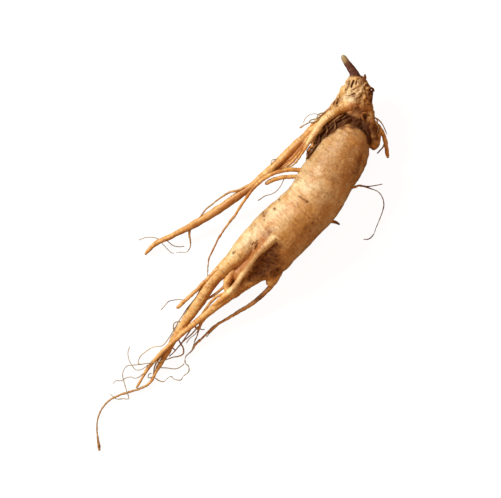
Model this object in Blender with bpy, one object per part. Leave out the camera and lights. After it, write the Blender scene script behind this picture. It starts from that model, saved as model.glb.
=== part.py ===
"""Fresh ginseng root, lying on a flat surface.

The root grew as one piece, so it is one object: the taproot with its neck and stem stub, the legs that
the taproot forks into, the side root that leaves the neck, and the laterals and rootlets.
+X runs along the root towards its crown, +Y across it towards the side root, and +Z is up.
The origin is on the surface, under the middle of the taproot, on the small flat that carries the weight.
"""

import math

import bmesh
import bpy
from mathutils import Vector, noise

MM = 0.001

# Driving dimensions, in millimetres
TAPROOT_RADIUS = 13.7
REST_DEPTH = 0.5           # how far the taproot's underside is flattened where it lies
LIE = TAPROOT_RADIUS - REST_DEPTH  # height of the taproot's middle over the surface
WELD = 0.005

# Sides round a tube, by how much it shows
SIDES_TAPROOT = 20
SIDES_NECK = 16
SIDES_LEG = 10
SIDES_ROOTLET = 6
ROOTLET_PITCH = 3.2        # distance along a rootlet from one ring of vertices to the next

# Every root is a line of stations: (along, across, height, radius), in millimetres, thick end first.
TAPROOT = [
    (48.7, -0.3, LIE, 1.2), (48.2, -0.3, LIE, 3.8), (46.6, -0.3, LIE, 6.9), (43.2, -0.5, LIE, 9.5),
    (40.0, -0.6, LIE, 10.9), (36.0, -0.8, LIE, 12.2), (30.0, -0.6, LIE, 13.1),
    (20.0, -0.3, LIE, TAPROOT_RADIUS), (10.0, -0.7, LIE, TAPROOT_RADIUS), (3.0, -0.3, LIE, 13.7),
    (-5.0, 1.4, 13.4, 13.9), (-12.0, 3.1, 13.7, 14.2), (-20.0, 4.9, 13.8, 14.3), (-25.0, 5.9, 13.6, 14.1),
    (-29.0, 6.6, 13.1, 13.0), (-33.0, 7.4, 13.0, 10.6), (-37.0, 8.3, 13.2, 7.9), (-41.0, 9.6, 13.2, 5.6),
    (-45.0, 11.4, 13.2, 3.9), (-48.0, 12.4, 13.1, 3.1), (-49.6, 12.8, 13.1, 1.4),
]
UPPER_LEG = [
    (-14.0, 9.4, 12.2, 6.0), (-19.0, 11.2, 12.2, 7.6), (-25.0, 13.0, 12.0, 7.5), (-30.0, 14.3, 11.9, 7.0),
    (-35.0, 15.8, 11.8, 6.0), (-40.0, 17.4, 11.6, 4.6), (-45.0, 18.9, 11.3, 3.7),
    (-50.0, 20.0, 10.9, 3.3), (-57.0, 21.0, 10.1, 3.1), (-65.0, 21.0, 9.0, 3.0), (-71.0, 21.2, 8.0, 2.8),
    (-78.0, 21.7, 6.7, 2.4), (-85.0, 22.0, 5.5, 2.0), (-91.0, 21.9, 4.5, 1.8), (-98.0, 21.4, 3.5, 1.6),
    (-105.0, 21.2, 2.6, 1.35), (-110.0, 20.9, 2.1, 1.0), (-114.0, 20.4, 1.8, 0.7),
]
UPPER_LEG_TAIL = [
    (-110.0, 21.0, 2.1, 0.6), (-113.5, 20.4, 1.8, 0.72), (-117.0, 21.0, 1.5, 0.65), (-121.0, 23.4, 1.3, 0.6),
    (-125.0, 26.8, 1.3, 0.6), (-129.0, 30.2, 1.4, 0.55), (-134.0, 33.2, 1.4, 0.5), (-140.0, 34.1, 1.3, 0.45),
    (-145.5, 33.0, 1.1, 0.4), (-150.5, 30.2, 0.9, 0.42), (-154.0, 27.4, 0.9, 0.6), (-156.6, 25.2, 0.9, 0.8),
    (-158.2, 23.9, 0.9, 0.5),
]
LOWER_LEG = [
    (-16.0, 1.6, 11.2, 8.6), (-22.0, 1.4, 11.0, 9.4), (-27.0, 1.0, 10.8, 9.3), (-31.0, 1.0, 10.7, 8.3),
    (-35.0, 1.6, 10.6, 6.7), (-40.0, 3.5, 10.6, 4.6), (-45.0, 5.2, 10.6, 3.7), (-50.0, 7.6, 10.5, 2.7),
    (-55.0, 9.0, 10.4, 2.4), (-60.0, 10.7, 10.2, 2.25), (-64.0, 12.2, 9.9, 2.0),
    (-69.0, 14.1, 9.5, 1.85), (-75.0, 16.1, 9.0, 1.6), (-80.0, 17.9, 8.4, 1.45), (-85.0, 19.5, 7.9, 1.3),
    (-90.0, 21.0, 7.5, 1.2), (-96.0, 22.7, 6.9, 1.1), (-101.0, 23.9, 6.0, 1.0), (-106.0, 24.7, 4.8, 0.95),
    (-111.0, 25.2, 3.6, 0.85), (-116.0, 25.1, 2.6, 0.75), (-120.5, 25.0, 2.0, 0.6), (-121.7, 25.0, 1.9, 0.3),
]
FRONT_LATERAL = [
    (-19.6, 5.4, 21.0, 1.3), (-21.4, 6.0, 23.2, 1.7), (-25.0, 7.6, 23.5, 1.7), (-30.0, 8.9, 22.1, 1.6),
    (-35.0, 9.4, 19.6, 1.4), (-40.0, 9.7, 17.3, 1.4), (-45.0, 9.9, 15.6, 1.4), (-50.0, 10.1, 14.3, 1.5),
    (-55.0, 10.7, 13.1, 1.6), (-60.0, 12.0, 11.9, 1.6), (-64.0, 13.2, 10.8, 1.3), (-67.0, 14.2, 10.0, 0.8),
]
SIDE_ROOT = [
    (58.6, 0.4, 16.6, 2.2), (58.0, 4.6, 18.3, 2.9), (55.8, 8.4, 18.4, 3.0), (53.0, 11.4, 17.5, 2.9),
    (49.0, 13.9, 16.9, 2.5), (44.0, 15.6, 16.3, 2.2),
    (39.0, 17.8, 15.4, 1.9), (34.0, 19.2, 14.5, 1.8), (29.0, 20.2, 13.8, 2.1), (24.0, 21.3, 13.2, 2.5),
    (19.0, 22.6, 12.6, 2.5), (14.0, 23.8, 12.1, 2.4), (9.0, 25.2, 11.5, 2.2), (4.0, 26.9, 10.9, 2.0),
    (-1.0, 28.4, 10.2, 1.8), (-6.0, 30.0, 9.5, 1.8), (-11.0, 32.0, 8.8, 2.0), (-17.0, 34.6, 8.0, 2.1),
    (-23.0, 37.2, 7.3, 2.1), (-29.0, 40.0, 6.6, 2.1), (-34.0, 42.6, 6.0, 2.0), (-39.0, 45.3, 5.5, 1.8),
    (-44.0, 48.3, 4.9, 1.5), (-49.0, 51.5, 4.3, 1.4), (-53.0, 54.2, 3.6, 1.3), (-57.0, 55.9, 2.8, 1.15),
    (-60.0, 56.5, 2.1, 1.0), (-62.3, 56.8, 1.6, 0.5),
]
NECK = [
    (43.0, 0.4, 11.6, 4.4), (48.0, 1.4, 11.6, 4.6), (51.0, 2.6, 12.4, 5.0), (54.0, 4.6, 13.5, 6.1),
    (57.0, 6.3, 14.2, 7.1), (60.5, 8.5, 14.6, 7.6), (64.5, 11.0, 14.8, 6.6), (67.6, 12.9, 15.0, 5.0),
    (69.4, 13.8, 15.0, 3.2), (70.2, 14.2, 15.0, 1.4),
]
NECK_LEFT_COLLAR = [
    (60.0, 10.5, 14.5, 5.0), (57.0, 13.0, 14.5, 4.2), (53.5, 14.6, 14.5, 2.9), (50.0, 15.8, 14.7, 1.9),
    (46.0, 17.1, 14.8, 1.2), (42.5, 18.4, 14.8, 0.7),
]
NECK_RIGHT_COLLAR = [
    (59.0, 4.0, 14.2, 4.8), (56.0, 0.2, 14.2, 4.2), (53.0, -2.9, 13.8, 3.9), (50.9, -6.3, 12.8, 3.6),
    (48.6, -9.8, 11.6, 2.9), (45.8, -11.2, 11.0, 2.9), (43.6, -11.4, 10.8, 2.2), (42.6, -11.3, 10.8, 0.9),
]
STEM_STUB = [
    (66.6, 12.6, 14.8, 2.4), (69.0, 14.4, 15.3, 2.4), (70.4, 17.0, 16.2, 2.25), (71.7, 19.8, 17.0, 1.95),
    (72.6, 22.2, 17.6, 1.65), (73.4, 24.0, 18.0, 1.45), (74.1, 25.2, 18.2, 1.05), (74.5, 25.7, 18.3, 0.4),
]
LOWER_STUB = [
    (-26.0, 0.0, 9.4, 4.6), (-32.0, -2.5, 9.6, 4.2), (-37.0, -3.9, 9.6, 3.1), (-41.0, -4.0, 9.4, 2.5),
    (-42.8, -3.8, 9.4, 1.3),
]

# Short swellings of the neck: (along, across, height, radius), old stem scars and buds
NECK_KNOBS = [
    (60.0, 14.6, 16.0, 3.2), (64.4, 13.2, 17.6, 3.2), (61.6, 6.4, 19.0, 2.9), (66.0, 7.6, 15.4, 2.8),
    (63.6, 10.4, 19.6, 2.6), (57.4, -0.2, 15.8, 2.6),
]

# Rootlets, in the same form: each starts inside the root that it grows from
ROOTLETS = {
    "long_lateral": [
        (17.0, 8.0, 14.2, 1.3), (15.0, 12.6, 15.0, 1.3), (13.2, 16.0, 15.6, 1.15), (10.5, 19.6, 16.0, 1.1),
        (7.5, 22.5, 16.2, 1.05), (4.0, 24.9, 16.2, 1.0), (0.0, 26.8, 16.0, 0.95), (-5.0, 28.0, 15.2, 0.9),
        (-10.0, 28.6, 14.2, 0.8), (-16.0, 28.8, 12.6, 0.7), (-22.0, 28.9, 11.0, 0.65),
        (-29.0, 29.6, 9.4, 0.6), (-36.0, 29.7, 8.2, 0.55), (-42.0, 29.0, 7.6, 0.5), (-46.5, 28.5, 7.4, 0.5),
        (-50.0, 27.0, 7.6, 0.45), (-53.0, 25.4, 8.0, 0.4), (-54.8, 24.2, 8.5, 0.35),
    ],
    "short_lateral": [
        (12.5, 9.0, 14.0, 1.1), (11.0, 13.0, 14.8, 1.1), (8.6, 16.6, 15.2, 1.1), (6.0, 19.8, 15.2, 1.1),
        (3.0, 22.4, 15.0, 1.1), (0.4, 23.8, 14.8, 1.0), (-0.6, 24.2, 14.7, 0.5),
    ],
    "bottom_lateral": [
        (-37.0, -5.0, 8.6, 1.3), (-42.5, -5.2, 8.2, 1.25), (-47.0, -4.2, 7.6, 1.2), (-52.0, -2.9, 6.8, 1.15),
        (-57.0, -0.8, 6.0, 1.1), (-62.0, 1.8, 5.2, 0.95), (-67.0, 4.4, 4.5, 0.8), (-72.0, 6.9, 3.8, 0.75),
        (-77.0, 8.8, 3.2, 0.7), (-82.0, 10.0, 2.6, 0.6), (-87.0, 11.4, 2.1, 0.65), (-91.0, 11.3, 1.7, 0.45),
        (-95.0, 12.2, 1.4, 0.38), (-97.8, 10.8, 1.2, 0.36), (-98.4, 8.6, 1.1, 0.35), (-100.8, 7.0, 1.0, 0.34),
        (-104.0, 8.1, 0.9, 0.32), (-106.3, 8.1, 0.8, 0.3), (-107.7, 11.0, 0.8, 0.3), (-107.4, 13.2, 0.8, 0.3),
        (-109.5, 14.3, 0.8, 0.3), (-111.6, 15.0, 0.9, 0.3), (-112.4, 17.2, 1.1, 0.3), (-112.2, 19.8, 1.5, 0.3),
    ],
    "upper_short_root": [
        (-41.0, 19.0, 12.6, 1.1), (-47.0, 21.2, 12.8, 1.05), (-52.0, 22.7, 12.4, 0.95),
        (-58.0, 24.1, 11.7, 0.95), (-64.0, 25.4, 11.0, 1.0), (-70.0, 27.1, 10.4, 1.0),
        (-75.4, 28.6, 10.0, 0.9), (-76.5, 28.9, 9.9, 0.5),
    ],
    "side_root_arc": [
        (-5.0, 30.8, 10.0, 0.7), (-10.0, 34.0, 10.2, 0.65), (-13.0, 37.0, 9.8, 0.6), (-17.0, 39.2, 9.2, 0.55),
        (-22.0, 41.2, 8.5, 0.5), (-27.0, 42.8, 7.8, 0.5), (-31.5, 43.2, 7.2, 0.5), (-35.0, 43.2, 6.6, 0.5),
    ],
    "side_root_branch": [
        (-37.5, 45.0, 5.2, 0.8), (-40.5, 44.0, 4.7, 0.65), (-42.5, 42.8, 4.1, 0.55), (-44.5, 41.0, 3.3, 0.5),
        (-46.5, 39.7, 2.6, 0.42), (-48.7, 39.4, 2.0, 0.36), (-50.6, 40.1, 1.5, 0.32), (-51.6, 42.0, 1.1, 0.3),
        (-53.2, 44.0, 0.8, 0.3),
    ],
    "side_root_hair": [
        (-50.0, 52.0, 4.0, 0.4), (-50.8, 49.3, 3.0, 0.32), (-50.9, 47.0, 2.2, 0.3), (-50.0, 44.6, 1.4, 0.3),
        (-48.3, 42.3, 0.8, 0.3),
    ],
    "side_root_upper_hair": [
        (-52.0, 54.4, 4.0, 0.35), (-52.7, 57.6, 3.4, 0.3), (-54.6, 60.8, 2.4, 0.3), (-57.8, 63.4, 1.2, 0.3),
    ],
    "front_strand": [
        (47.0, 14.6, 17.4, 1.6), (43.0, 15.8, 17.6, 1.7), (38.0, 16.6, 17.4, 1.7), (33.0, 16.8, 16.8, 1.6),
        (28.5, 16.9, 16.1, 1.2), (25.0, 16.8, 15.6, 0.8), (21.0, 16.9, 15.0, 0.65), (16.0, 17.2, 14.6, 0.6),
        (13.5, 18.4, 14.2, 0.5), (11.5, 20.2, 13.6, 0.4),
    ],
    "middle_strand": [
        (34.0, 18.2, 15.2, 1.0), (30.0, 18.5, 14.7, 1.2), (26.0, 18.6, 14.3, 1.3), (21.0, 19.1, 13.8, 1.2),
        (17.0, 20.2, 13.2, 1.0), (13.0, 22.0, 12.6, 0.7),
    ],
    "cleft_rootlet_low": [
        (53.0, 4.6, 14.0, 1.5), (48.0, 6.6, 15.6, 1.5), (43.0, 8.8, 16.4, 1.4), (37.0, 10.9, 16.4, 1.1),
        (31.0, 12.3, 15.8, 0.9), (25.0, 13.3, 15.2, 0.6), (21.0, 13.8, 14.8, 0.35),
    ],
    "cleft_bundle": [
        (54.0, 6.6, 12.2, 2.4), (48.0, 9.6, 13.0, 2.6), (42.0, 12.4, 13.4, 2.5), (36.0, 14.0, 13.4, 2.0),
        (31.0, 14.4, 13.2, 1.5), (27.0, 14.4, 13.2, 0.9), (24.5, 14.4, 13.2, 0.4),
    ],
    "cleft_rootlet_high": [
        (54.5, 8.6, 14.8, 1.2), (49.0, 10.2, 15.6, 1.2), (41.0, 13.0, 15.6, 1.1), (35.0, 14.2, 15.2, 0.8),
        (29.0, 14.9, 14.6, 0.55), (25.0, 15.4, 14.2, 0.35),
    ],
    "neck_hook": [
        (54.6, -3.0, 13.2, 1.5), (53.8, -8.5, 12.4, 1.3), (52.6, -11.5, 11.2, 1.2), (50.8, -14.3, 9.6, 1.1),
        (48.0, -17.0, 7.6, 1.05), (45.0, -19.6, 5.8, 1.0), (43.5, -20.9, 5.0, 0.5),
    ],
    "neck_thin_hook": [
        (55.2, -2.0, 15.4, 0.5), (56.7, -5.6, 15.2, 0.45), (56.2, -9.0, 14.0, 0.4), (54.6, -11.8, 12.6, 0.35),
        (53.0, -14.2, 11.2, 0.3),
    ],
    "neck_dark_hair": [
        (50.4, -14.6, 9.4, 0.35), (47.0, -15.8, 7.8, 0.3), (43.0, -15.2, 6.6, 0.3),
    ],
    "neck_curl": [
        (53.8, -2.8, 16.0, 0.6), (52.9, -1.6, 17.6, 0.6), (52.8, 0.0, 18.8, 0.6), (53.6, 1.2, 19.4, 0.6),
        (54.9, 1.6, 19.8, 0.6), (55.8, 0.8, 20.0, 0.6), (56.1, -0.6, 19.4, 0.55), (56.0, -1.8, 17.8, 0.5),
    ],
    "neck_left_hair": [
        (45.0, 17.2, 14.8, 0.4), (41.0, 18.9, 15.0, 0.35), (38.6, 20.2, 14.6, 0.35), (36.6, 22.4, 13.6, 0.3),
        (33.0, 24.3, 12.6, 0.3),
    ],
    "crown_spur": [(66.5, 10.2, 15.0, 1.4), (69.0, 10.6, 15.3, 1.0), (71.0, 10.9, 15.6, 0.4)],
    "crown_scale": [(62.0, 3.2, 14.0, 1.5), (65.0, 2.8, 14.2, 0.9), (68.3, 3.9, 14.8, 0.35)],
    "right_hair": [
        (17.0, -10.0, 12.4, 0.8), (21.5, -14.0, 11.4, 0.7), (24.0, -16.2, 10.4, 0.6), (25.3, -19.4, 9.0, 0.5),
        (25.9, -22.4, 7.6, 0.4), (26.5, -25.3, 6.0, 0.36), (26.0, -27.8, 4.8, 0.35), (24.4, -30.2, 3.6, 0.33),
        (22.0, -32.1, 2.8, 0.33), (17.6, -33.4, 2.0, 0.33), (12.0, -34.4, 1.3, 0.33), (7.0, -35.3, 0.8, 0.33),
        (3.9, -34.4, 0.8, 0.33), (2.5, -32.4, 0.9, 0.3),
    ],
    "right_hair_fork": [(25.0, -18.6, 9.4, 0.4), (27.4, -21.8, 8.0, 0.35), (30.9, -25.6, 6.4, 0.3)],
    "right_stub": [
        (-0.5, -10.0, 11.2, 0.95), (1.6, -14.4, 10.6, 0.85), (2.2, -16.4, 10.2, 0.75), (2.2, -18.0, 10.0, 0.5),
    ],
    "fork_bulb": [
        (-45.0, 14.6, 11.0, 2.5), (-48.6, 14.6, 11.6, 2.3), (-51.8, 14.4, 11.9, 2.2), (-54.2, 13.2, 11.9, 1.8),
        (-56.4, 11.6, 11.6, 1.2),
    ],
    "fork_strand": [
        (-49.0, 13.6, 10.6, 1.0), (-54.0, 14.3, 10.2, 0.8), (-58.0, 15.5, 9.8, 0.7), (-62.0, 17.1, 9.3, 0.65),
        (-66.0, 19.0, 9.0, 0.55),
    ],
    "fork_arc": [
        (-55.0, 11.0, 11.6, 0.8), (-58.3, 13.2, 11.2, 0.8), (-60.6, 14.9, 10.9, 0.8), (-64.0, 15.9, 10.4, 0.75),
        (-68.0, 16.4, 10.0, 0.65), (-71.5, 16.7, 9.6, 0.5), (-75.5, 16.6, 9.2, 0.4),
    ],
    "fork_web": [
        (-44.0, 3.0, 10.2, 1.3), (-48.0, 3.8, 10.2, 0.9), (-51.5, 5.3, 10.2, 0.75), (-55.0, 6.8, 10.3, 0.9),
        (-59.0, 9.0, 10.2, 1.0),
    ],
    "fork_hair": [
        (-68.0, 25.8, 10.4, 0.4), (-70.6, 27.4, 11.0, 0.35), (-72.6, 30.8, 9.8, 0.32), (-75.6, 34.0, 8.6, 0.3),
        (-78.4, 34.6, 7.6, 0.3), (-81.6, 35.2, 6.6, 0.3),
    ],
    "leg_loop": [
        (-81.0, 23.2, 6.4, 0.45), (-82.7, 25.6, 6.8, 0.4), (-84.2, 26.0, 6.8, 0.4), (-86.0, 25.0, 6.2, 0.4),
        (-87.6, 23.4, 5.4, 0.35),
    ],
    "tangle_stub": [
        (-71.5, 14.6, 9.2, 1.2), (-75.5, 14.7, 8.2, 0.95), (-78.0, 14.4, 7.2, 0.8), (-80.4, 13.8, 6.0, 0.55),
        (-83.0, 13.0, 4.8, 0.4), (-85.5, 12.6, 3.6, 0.35), (-88.0, 12.0, 2.4, 0.3),
    ],
    "tangle_link": [(-78.8, 17.4, 8.2, 0.5), (-79.8, 15.4, 7.2, 0.5), (-80.2, 13.6, 6.0, 0.35)],
    "tangle_low_strand": [
        (-78.6, 14.9, 7.2, 0.5), (-84.0, 15.8, 5.6, 0.42), (-88.0, 17.0, 5.0, 0.42), (-92.0, 17.9, 4.4, 0.4),
        (-95.5, 18.4, 4.0, 0.4), (-99.2, 19.3, 3.6, 0.35),
    ],
    "tangle_high_strand": [
        (-77.5, 17.4, 8.6, 0.6), (-82.0, 17.4, 7.0, 0.5), (-87.0, 17.4, 5.8, 0.42), (-91.5, 17.7, 4.6, 0.4),
    ],
    "tangle_post": [(-95.0, 18.0, 4.0, 0.4), (-94.8, 19.6, 4.0, 0.4), (-94.6, 21.2, 4.0, 0.35)],
    "tangle_hook": [(-78.2, 14.4, 7.0, 0.4), (-79.2, 13.1, 5.8, 0.35), (-78.2, 11.5, 5.0, 0.3)],
    "long_loop": [
        (-89.2, 20.6, 5.0, 0.5), (-90.6, 18.0, 4.0, 0.45), (-91.8, 15.8, 3.4, 0.45), (-94.3, 14.1, 2.8, 0.45),
        (-96.7, 15.4, 2.8, 0.42), (-99.0, 17.8, 3.4, 0.4), (-101.5, 19.9, 4.6, 0.4), (-103.6, 21.6, 5.6, 0.4),
        (-105.4, 23.6, 6.4, 0.4), (-106.9, 25.4, 6.4, 0.38), (-108.6, 27.6, 5.4, 0.36), (-110.6, 29.9, 4.2, 0.35),
        (-112.7, 32.6, 3.0, 0.33), (-114.4, 34.7, 2.2, 0.32), (-117.0, 35.1, 1.7, 0.3), (-119.6, 34.3, 1.6, 0.3),
        (-121.8, 32.3, 1.8, 0.3), (-123.8, 30.1, 2.3, 0.3), (-125.6, 28.0, 2.8, 0.3), (-126.9, 26.3, 1.9, 0.3),
        (-128.3, 25.4, 1.0, 0.3), (-129.6, 27.6, 1.2, 0.3), (-131.3, 30.2, 2.4, 0.3), (-131.3, 32.3, 2.8, 0.3),
        (-131.0, 34.5, 2.2, 0.3),
    ],
    "tip_curl": [
        (-111.5, 25.2, 3.6, 0.4), (-115.5, 26.5, 2.6, 0.35), (-117.7, 28.0, 1.9, 0.3), (-118.3, 30.2, 1.3, 0.3),
        (-120.0, 32.0, 0.8, 0.3), (-122.6, 33.5, 0.7, 0.3), (-123.8, 35.5, 0.7, 0.3), (-125.9, 36.2, 0.7, 0.3),
    ],
    "tail_strand": [
        (-97.0, 22.2, 4.2, 0.6), (-102.0, 22.9, 3.9, 0.5), (-107.0, 22.9, 3.4, 0.45), (-111.0, 21.4, 2.5, 0.4),
    ],
}


def clear_scene():
    for obj in list(bpy.data.objects):
        bpy.data.objects.remove(obj)


def new_collection(name):
    collection = bpy.data.collections.new(name)
    bpy.context.scene.collection.children.link(collection)
    return collection


def smooth_line(stations, pitch):
    """Points on a Catmull-Rom curve through the stations, about a pitch apart, as (x, y, z, radius)."""
    first, last = Vector(stations[0]), Vector(stations[-1])
    line = [2 * first - Vector(stations[1])]
    line += [Vector(station) for station in stations]
    line.append(2 * last - Vector(stations[-2]))
    points = []
    for before, start, end, after in zip(line, line[1:], line[2:], line[3:]):
        length = (end - start).to_3d().length
        steps = max(1, round(length / pitch))
        for step in range(steps):
            t = step / steps
            point = (
                2 * start
                + (end - before) * t
                + (2 * before - 5 * start + 4 * end - after) * t**2
                + (3 * start - before - 3 * end + after) * t**3
            ) / 2
            point.w = max(point.w, 0.25)
            points.append(point)
    points.append(last)
    return points


def tube(name, stations, sides, pitch, collection):
    """A root as a curve with a round bevel, turned into a closed mesh."""
    data = bpy.data.curves.new(name, "CURVE")
    data.dimensions = "3D"
    data.bevel_depth = MM
    data.bevel_resolution = sides // 2 - 2
    data.use_fill_caps = True
    points = smooth_line(stations, pitch)
    spline = data.splines.new("POLY")
    spline.points.add(len(points) - 1)
    for target, point in zip(spline.points, points):
        target.co = (*(point.to_3d() * MM), 1)
        target.radius = point.w
    curve = bpy.data.objects.new(name, data)
    bpy.context.scene.collection.objects.link(curve)
    graph = bpy.context.evaluated_depsgraph_get()
    mesh = bpy.data.meshes.new_from_object(curve.evaluated_get(graph))
    bpy.data.objects.remove(curve)
    shape = bmesh.new()
    shape.from_mesh(mesh)
    bmesh.ops.remove_doubles(shape, verts=shape.verts, dist=WELD * MM)
    bmesh.ops.recalc_face_normals(shape, faces=shape.faces)
    shape.to_mesh(mesh)
    shape.free()
    obj = bpy.data.objects.new(name, mesh)
    collection.objects.link(obj)
    return obj


def knob(name, station, collection):
    """A rounded swelling, a little flattened."""
    *place, radius = station
    bpy.ops.mesh.primitive_ico_sphere_add(subdivisions=2, radius=radius * MM, location=Vector(place) * MM)
    obj = bpy.context.active_object
    obj.name = name
    for other in list(obj.users_collection):
        other.objects.unlink(obj)
    collection.objects.link(obj)
    return obj


def roughen(obj, depth, grain):
    """Lets the skin swell and sink by up to depth, over patches about as wide as grain, both in millimetres."""
    bpy.context.view_layer.update()
    shape = bmesh.new()
    shape.from_mesh(obj.data)
    shape.normal_update()
    for vertex in shape.verts:
        place = (obj.matrix_world @ vertex.co) / (grain * MM)
        vertex.co += vertex.normal * noise.noise(place) * depth * MM
    shape.to_mesh(obj.data)
    shape.free()


def ring_wrinkles(obj, deepest, pitch):
    """Rings round the taproot's shoulder, which fade out towards its middle."""
    shoulder, fade = 46.0, 30.0
    for vertex in obj.data.vertices:
        along = vertex.co.x / MM
        strength = min(1.0, max(0.0, 1 - (shoulder - along) / fade))
        if along > shoulder:
            strength = 0.0
        warp = 1.6 * noise.noise(vertex.co / (11 * MM))
        ring = math.sin(2 * math.pi * (along / pitch + warp))
        middle = Vector((vertex.co.x, -0.6 * MM, LIE * MM))
        vertex.co += (vertex.co - middle).normalized() * ring * strength * deepest * MM


def settle(obj):
    """Towards the fork the taproot is wider than it is high."""
    start, length, squash = 2.0, 30.0, 0.18
    for vertex in obj.data.vertices:
        part = min(1.0, max(0.0, (start - vertex.co.x / MM) / length))
        part = part * part * (3 - 2 * part)
        vertex.co.z *= 1 - squash * part


def fuse(body, others):
    """One Boolean union joins everything in the collection to the body."""
    union = body.modifiers.new("fuse", "BOOLEAN")
    union.operation = "UNION"
    union.operand_type = "COLLECTION"
    union.collection = others
    union.solver = "EXACT"
    apply_modifiers(body)
    for obj in list(others.objects):
        bpy.data.objects.remove(obj)


def flatten_underside(body, cutters):
    """Cuts off what would be under the surface, which leaves the flat that the root rests on."""
    size = 0.4
    bpy.ops.mesh.primitive_cube_add(size=size, location=(0, 0, -size / 2))
    ground = bpy.context.active_object
    ground.name = "ground_cutter"
    for other in list(ground.users_collection):
        other.objects.unlink(ground)
    cutters.objects.link(ground)
    ground.hide_render = True
    ground.display_type = "WIRE"
    cut = body.modifiers.new("rest", "BOOLEAN")
    cut.operation = "DIFFERENCE"
    cut.object = ground
    cut.solver = "EXACT"


def apply_modifiers(obj):
    graph = bpy.context.evaluated_depsgraph_get()
    mesh = bpy.data.meshes.new_from_object(obj.evaluated_get(graph))
    obj.modifiers.clear()
    obj.data = mesh


def root_skin():
    """Buff cork skin of a fresh root."""
    material = bpy.data.materials.new("root_skin")
    material.use_nodes = True
    shader = material.node_tree.nodes["Principled BSDF"]
    shader.inputs["Base Color"].default_value = (0.58, 0.36, 0.16, 1)
    shader.inputs["Roughness"].default_value = 0.6
    shader.inputs["Metallic"].default_value = 0.0
    return material


def main():
    clear_scene()
    root = new_collection("ginseng")
    grown = new_collection("grown_on")
    cutters = new_collection("cutters")
    body = tube("ginseng_root", TAPROOT, SIDES_TAPROOT, 2.5, root)
    settle(body)
    roughen(body, 0.6, 11)
    ring_wrinkles(body, 0.22, 6.5)
    for name, stations, sides, pitch, lumps in (
        ("upper_leg", UPPER_LEG, SIDES_LEG, 2.9, 0.35),
        ("lower_leg", LOWER_LEG, SIDES_LEG, 2.8, 0.25),
        ("front_lateral", FRONT_LATERAL, SIDES_LEG, 2.8, 0.2),
        ("side_root", SIDE_ROOT, SIDES_LEG, 2.8, 0.3),
        ("neck", NECK, SIDES_NECK, 1.9, 1.2),
        ("neck_left_collar", NECK_LEFT_COLLAR, SIDES_LEG, 1.9, 0.6),
        ("neck_right_collar", NECK_RIGHT_COLLAR, SIDES_LEG, 2.0, 0.8),
        ("stem_stub", STEM_STUB, SIDES_LEG, 1.8, 0.2),
        ("lower_stub", LOWER_STUB, SIDES_LEG, 2.2, 0.5),
        ("upper_leg_tail", UPPER_LEG_TAIL, SIDES_ROOTLET, 2.3, 0.1),
    ):
        roughen(tube(name, stations, sides, pitch, grown), lumps, 4)
    for number, station in enumerate(NECK_KNOBS):
        roughen(knob(f"knob_{number}", station, grown), 0.4, 2.5)
    for name, stations in ROOTLETS.items():
        tube(name, stations, SIDES_ROOTLET, ROOTLET_PITCH, grown)
    fuse(body, grown)
    flatten_underside(body, cutters)
    body.data.materials.clear()
    body.data.materials.append(root_skin())
    body.data.shade_smooth()
    body.data.set_sharp_from_angle(angle=math.radians(40))


main()
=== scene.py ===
"""The look of a fresh ginseng root, lying on a pale floor.

The root's skin is modelled again over the plain solid, from the same stations, with its ring wrinkles,
scars, scaly neck and fine rootlets. Lengths here are in millimetres, and MM turns them into metres.
"""

import math

import bmesh
import bpy
import numpy as np
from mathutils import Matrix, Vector, noise
from mathutils.bvhtree import BVHTree
from mathutils.kdtree import KDTree


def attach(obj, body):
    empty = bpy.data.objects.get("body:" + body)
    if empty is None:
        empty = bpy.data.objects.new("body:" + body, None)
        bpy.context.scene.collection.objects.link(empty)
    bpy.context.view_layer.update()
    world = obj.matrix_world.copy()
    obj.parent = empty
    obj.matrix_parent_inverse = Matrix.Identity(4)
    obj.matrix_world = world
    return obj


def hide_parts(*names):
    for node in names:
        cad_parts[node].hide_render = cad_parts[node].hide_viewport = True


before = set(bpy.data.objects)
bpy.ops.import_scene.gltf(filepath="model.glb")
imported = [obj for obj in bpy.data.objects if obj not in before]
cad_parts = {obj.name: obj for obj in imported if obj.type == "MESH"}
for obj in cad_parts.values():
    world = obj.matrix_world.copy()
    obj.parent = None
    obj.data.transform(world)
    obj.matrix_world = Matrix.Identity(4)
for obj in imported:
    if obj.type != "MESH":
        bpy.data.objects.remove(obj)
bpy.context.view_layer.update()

MM = 0.001
NOISE_SEED = 5                         # without one, noise_vector gives other numbers in each run
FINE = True
VOXEL = 0.3 if FINE else 0.5           # grid that the skin is fused on
TAPROOT_SIDES = 200 if FINE else 90
TAPROOT_PITCH = 0.42 if FINE else 0.9  # between its rings of points
SHELTER_RAYS = 20 if FINE else 8       # rays a point, to find the hollows, where soil stays and shade is painted
SHELTER_REACH = 7.0                    # how far they look
NEXT_ROOT = 37.0                       # shift of the pattern from one root to the next

TAPROOT_RADIUS = 13.7
LIE = 13.2                 # height of the taproot's middle over the floor
FORK_START, FORK_LENGTH, FORK_SQUASH = 2.0, 30.0, 0.18
FOLD_PITCH = 3.6           # of the folds round the taproot's shoulder
CREASE_PITCH = 1.45        # of the fine creases between them
RELIEF_DEPTH = 0.4         # of the finest bumps
SIDE_ROOT_ARM = ((56.0, 8.2), (44.0, 15.8))     # smooth, where it crosses the scaly neck
MOST_TRIANGLES = 190000    # of the skin

# The camera: what it sees at the root's mid height, in millimetres, and the way up in the picture
VIEW_WIDTH = 250.5
VIEW_HEIGHT = 12.0
VIEW_MIDDLE = (-31.8, 13.3)
CAMERA_LENS = 250.0
CAMERA_SENSOR = 36.0
CAMERA_TURN = 58.0
CAMERA_REACH = 20000.0

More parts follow.
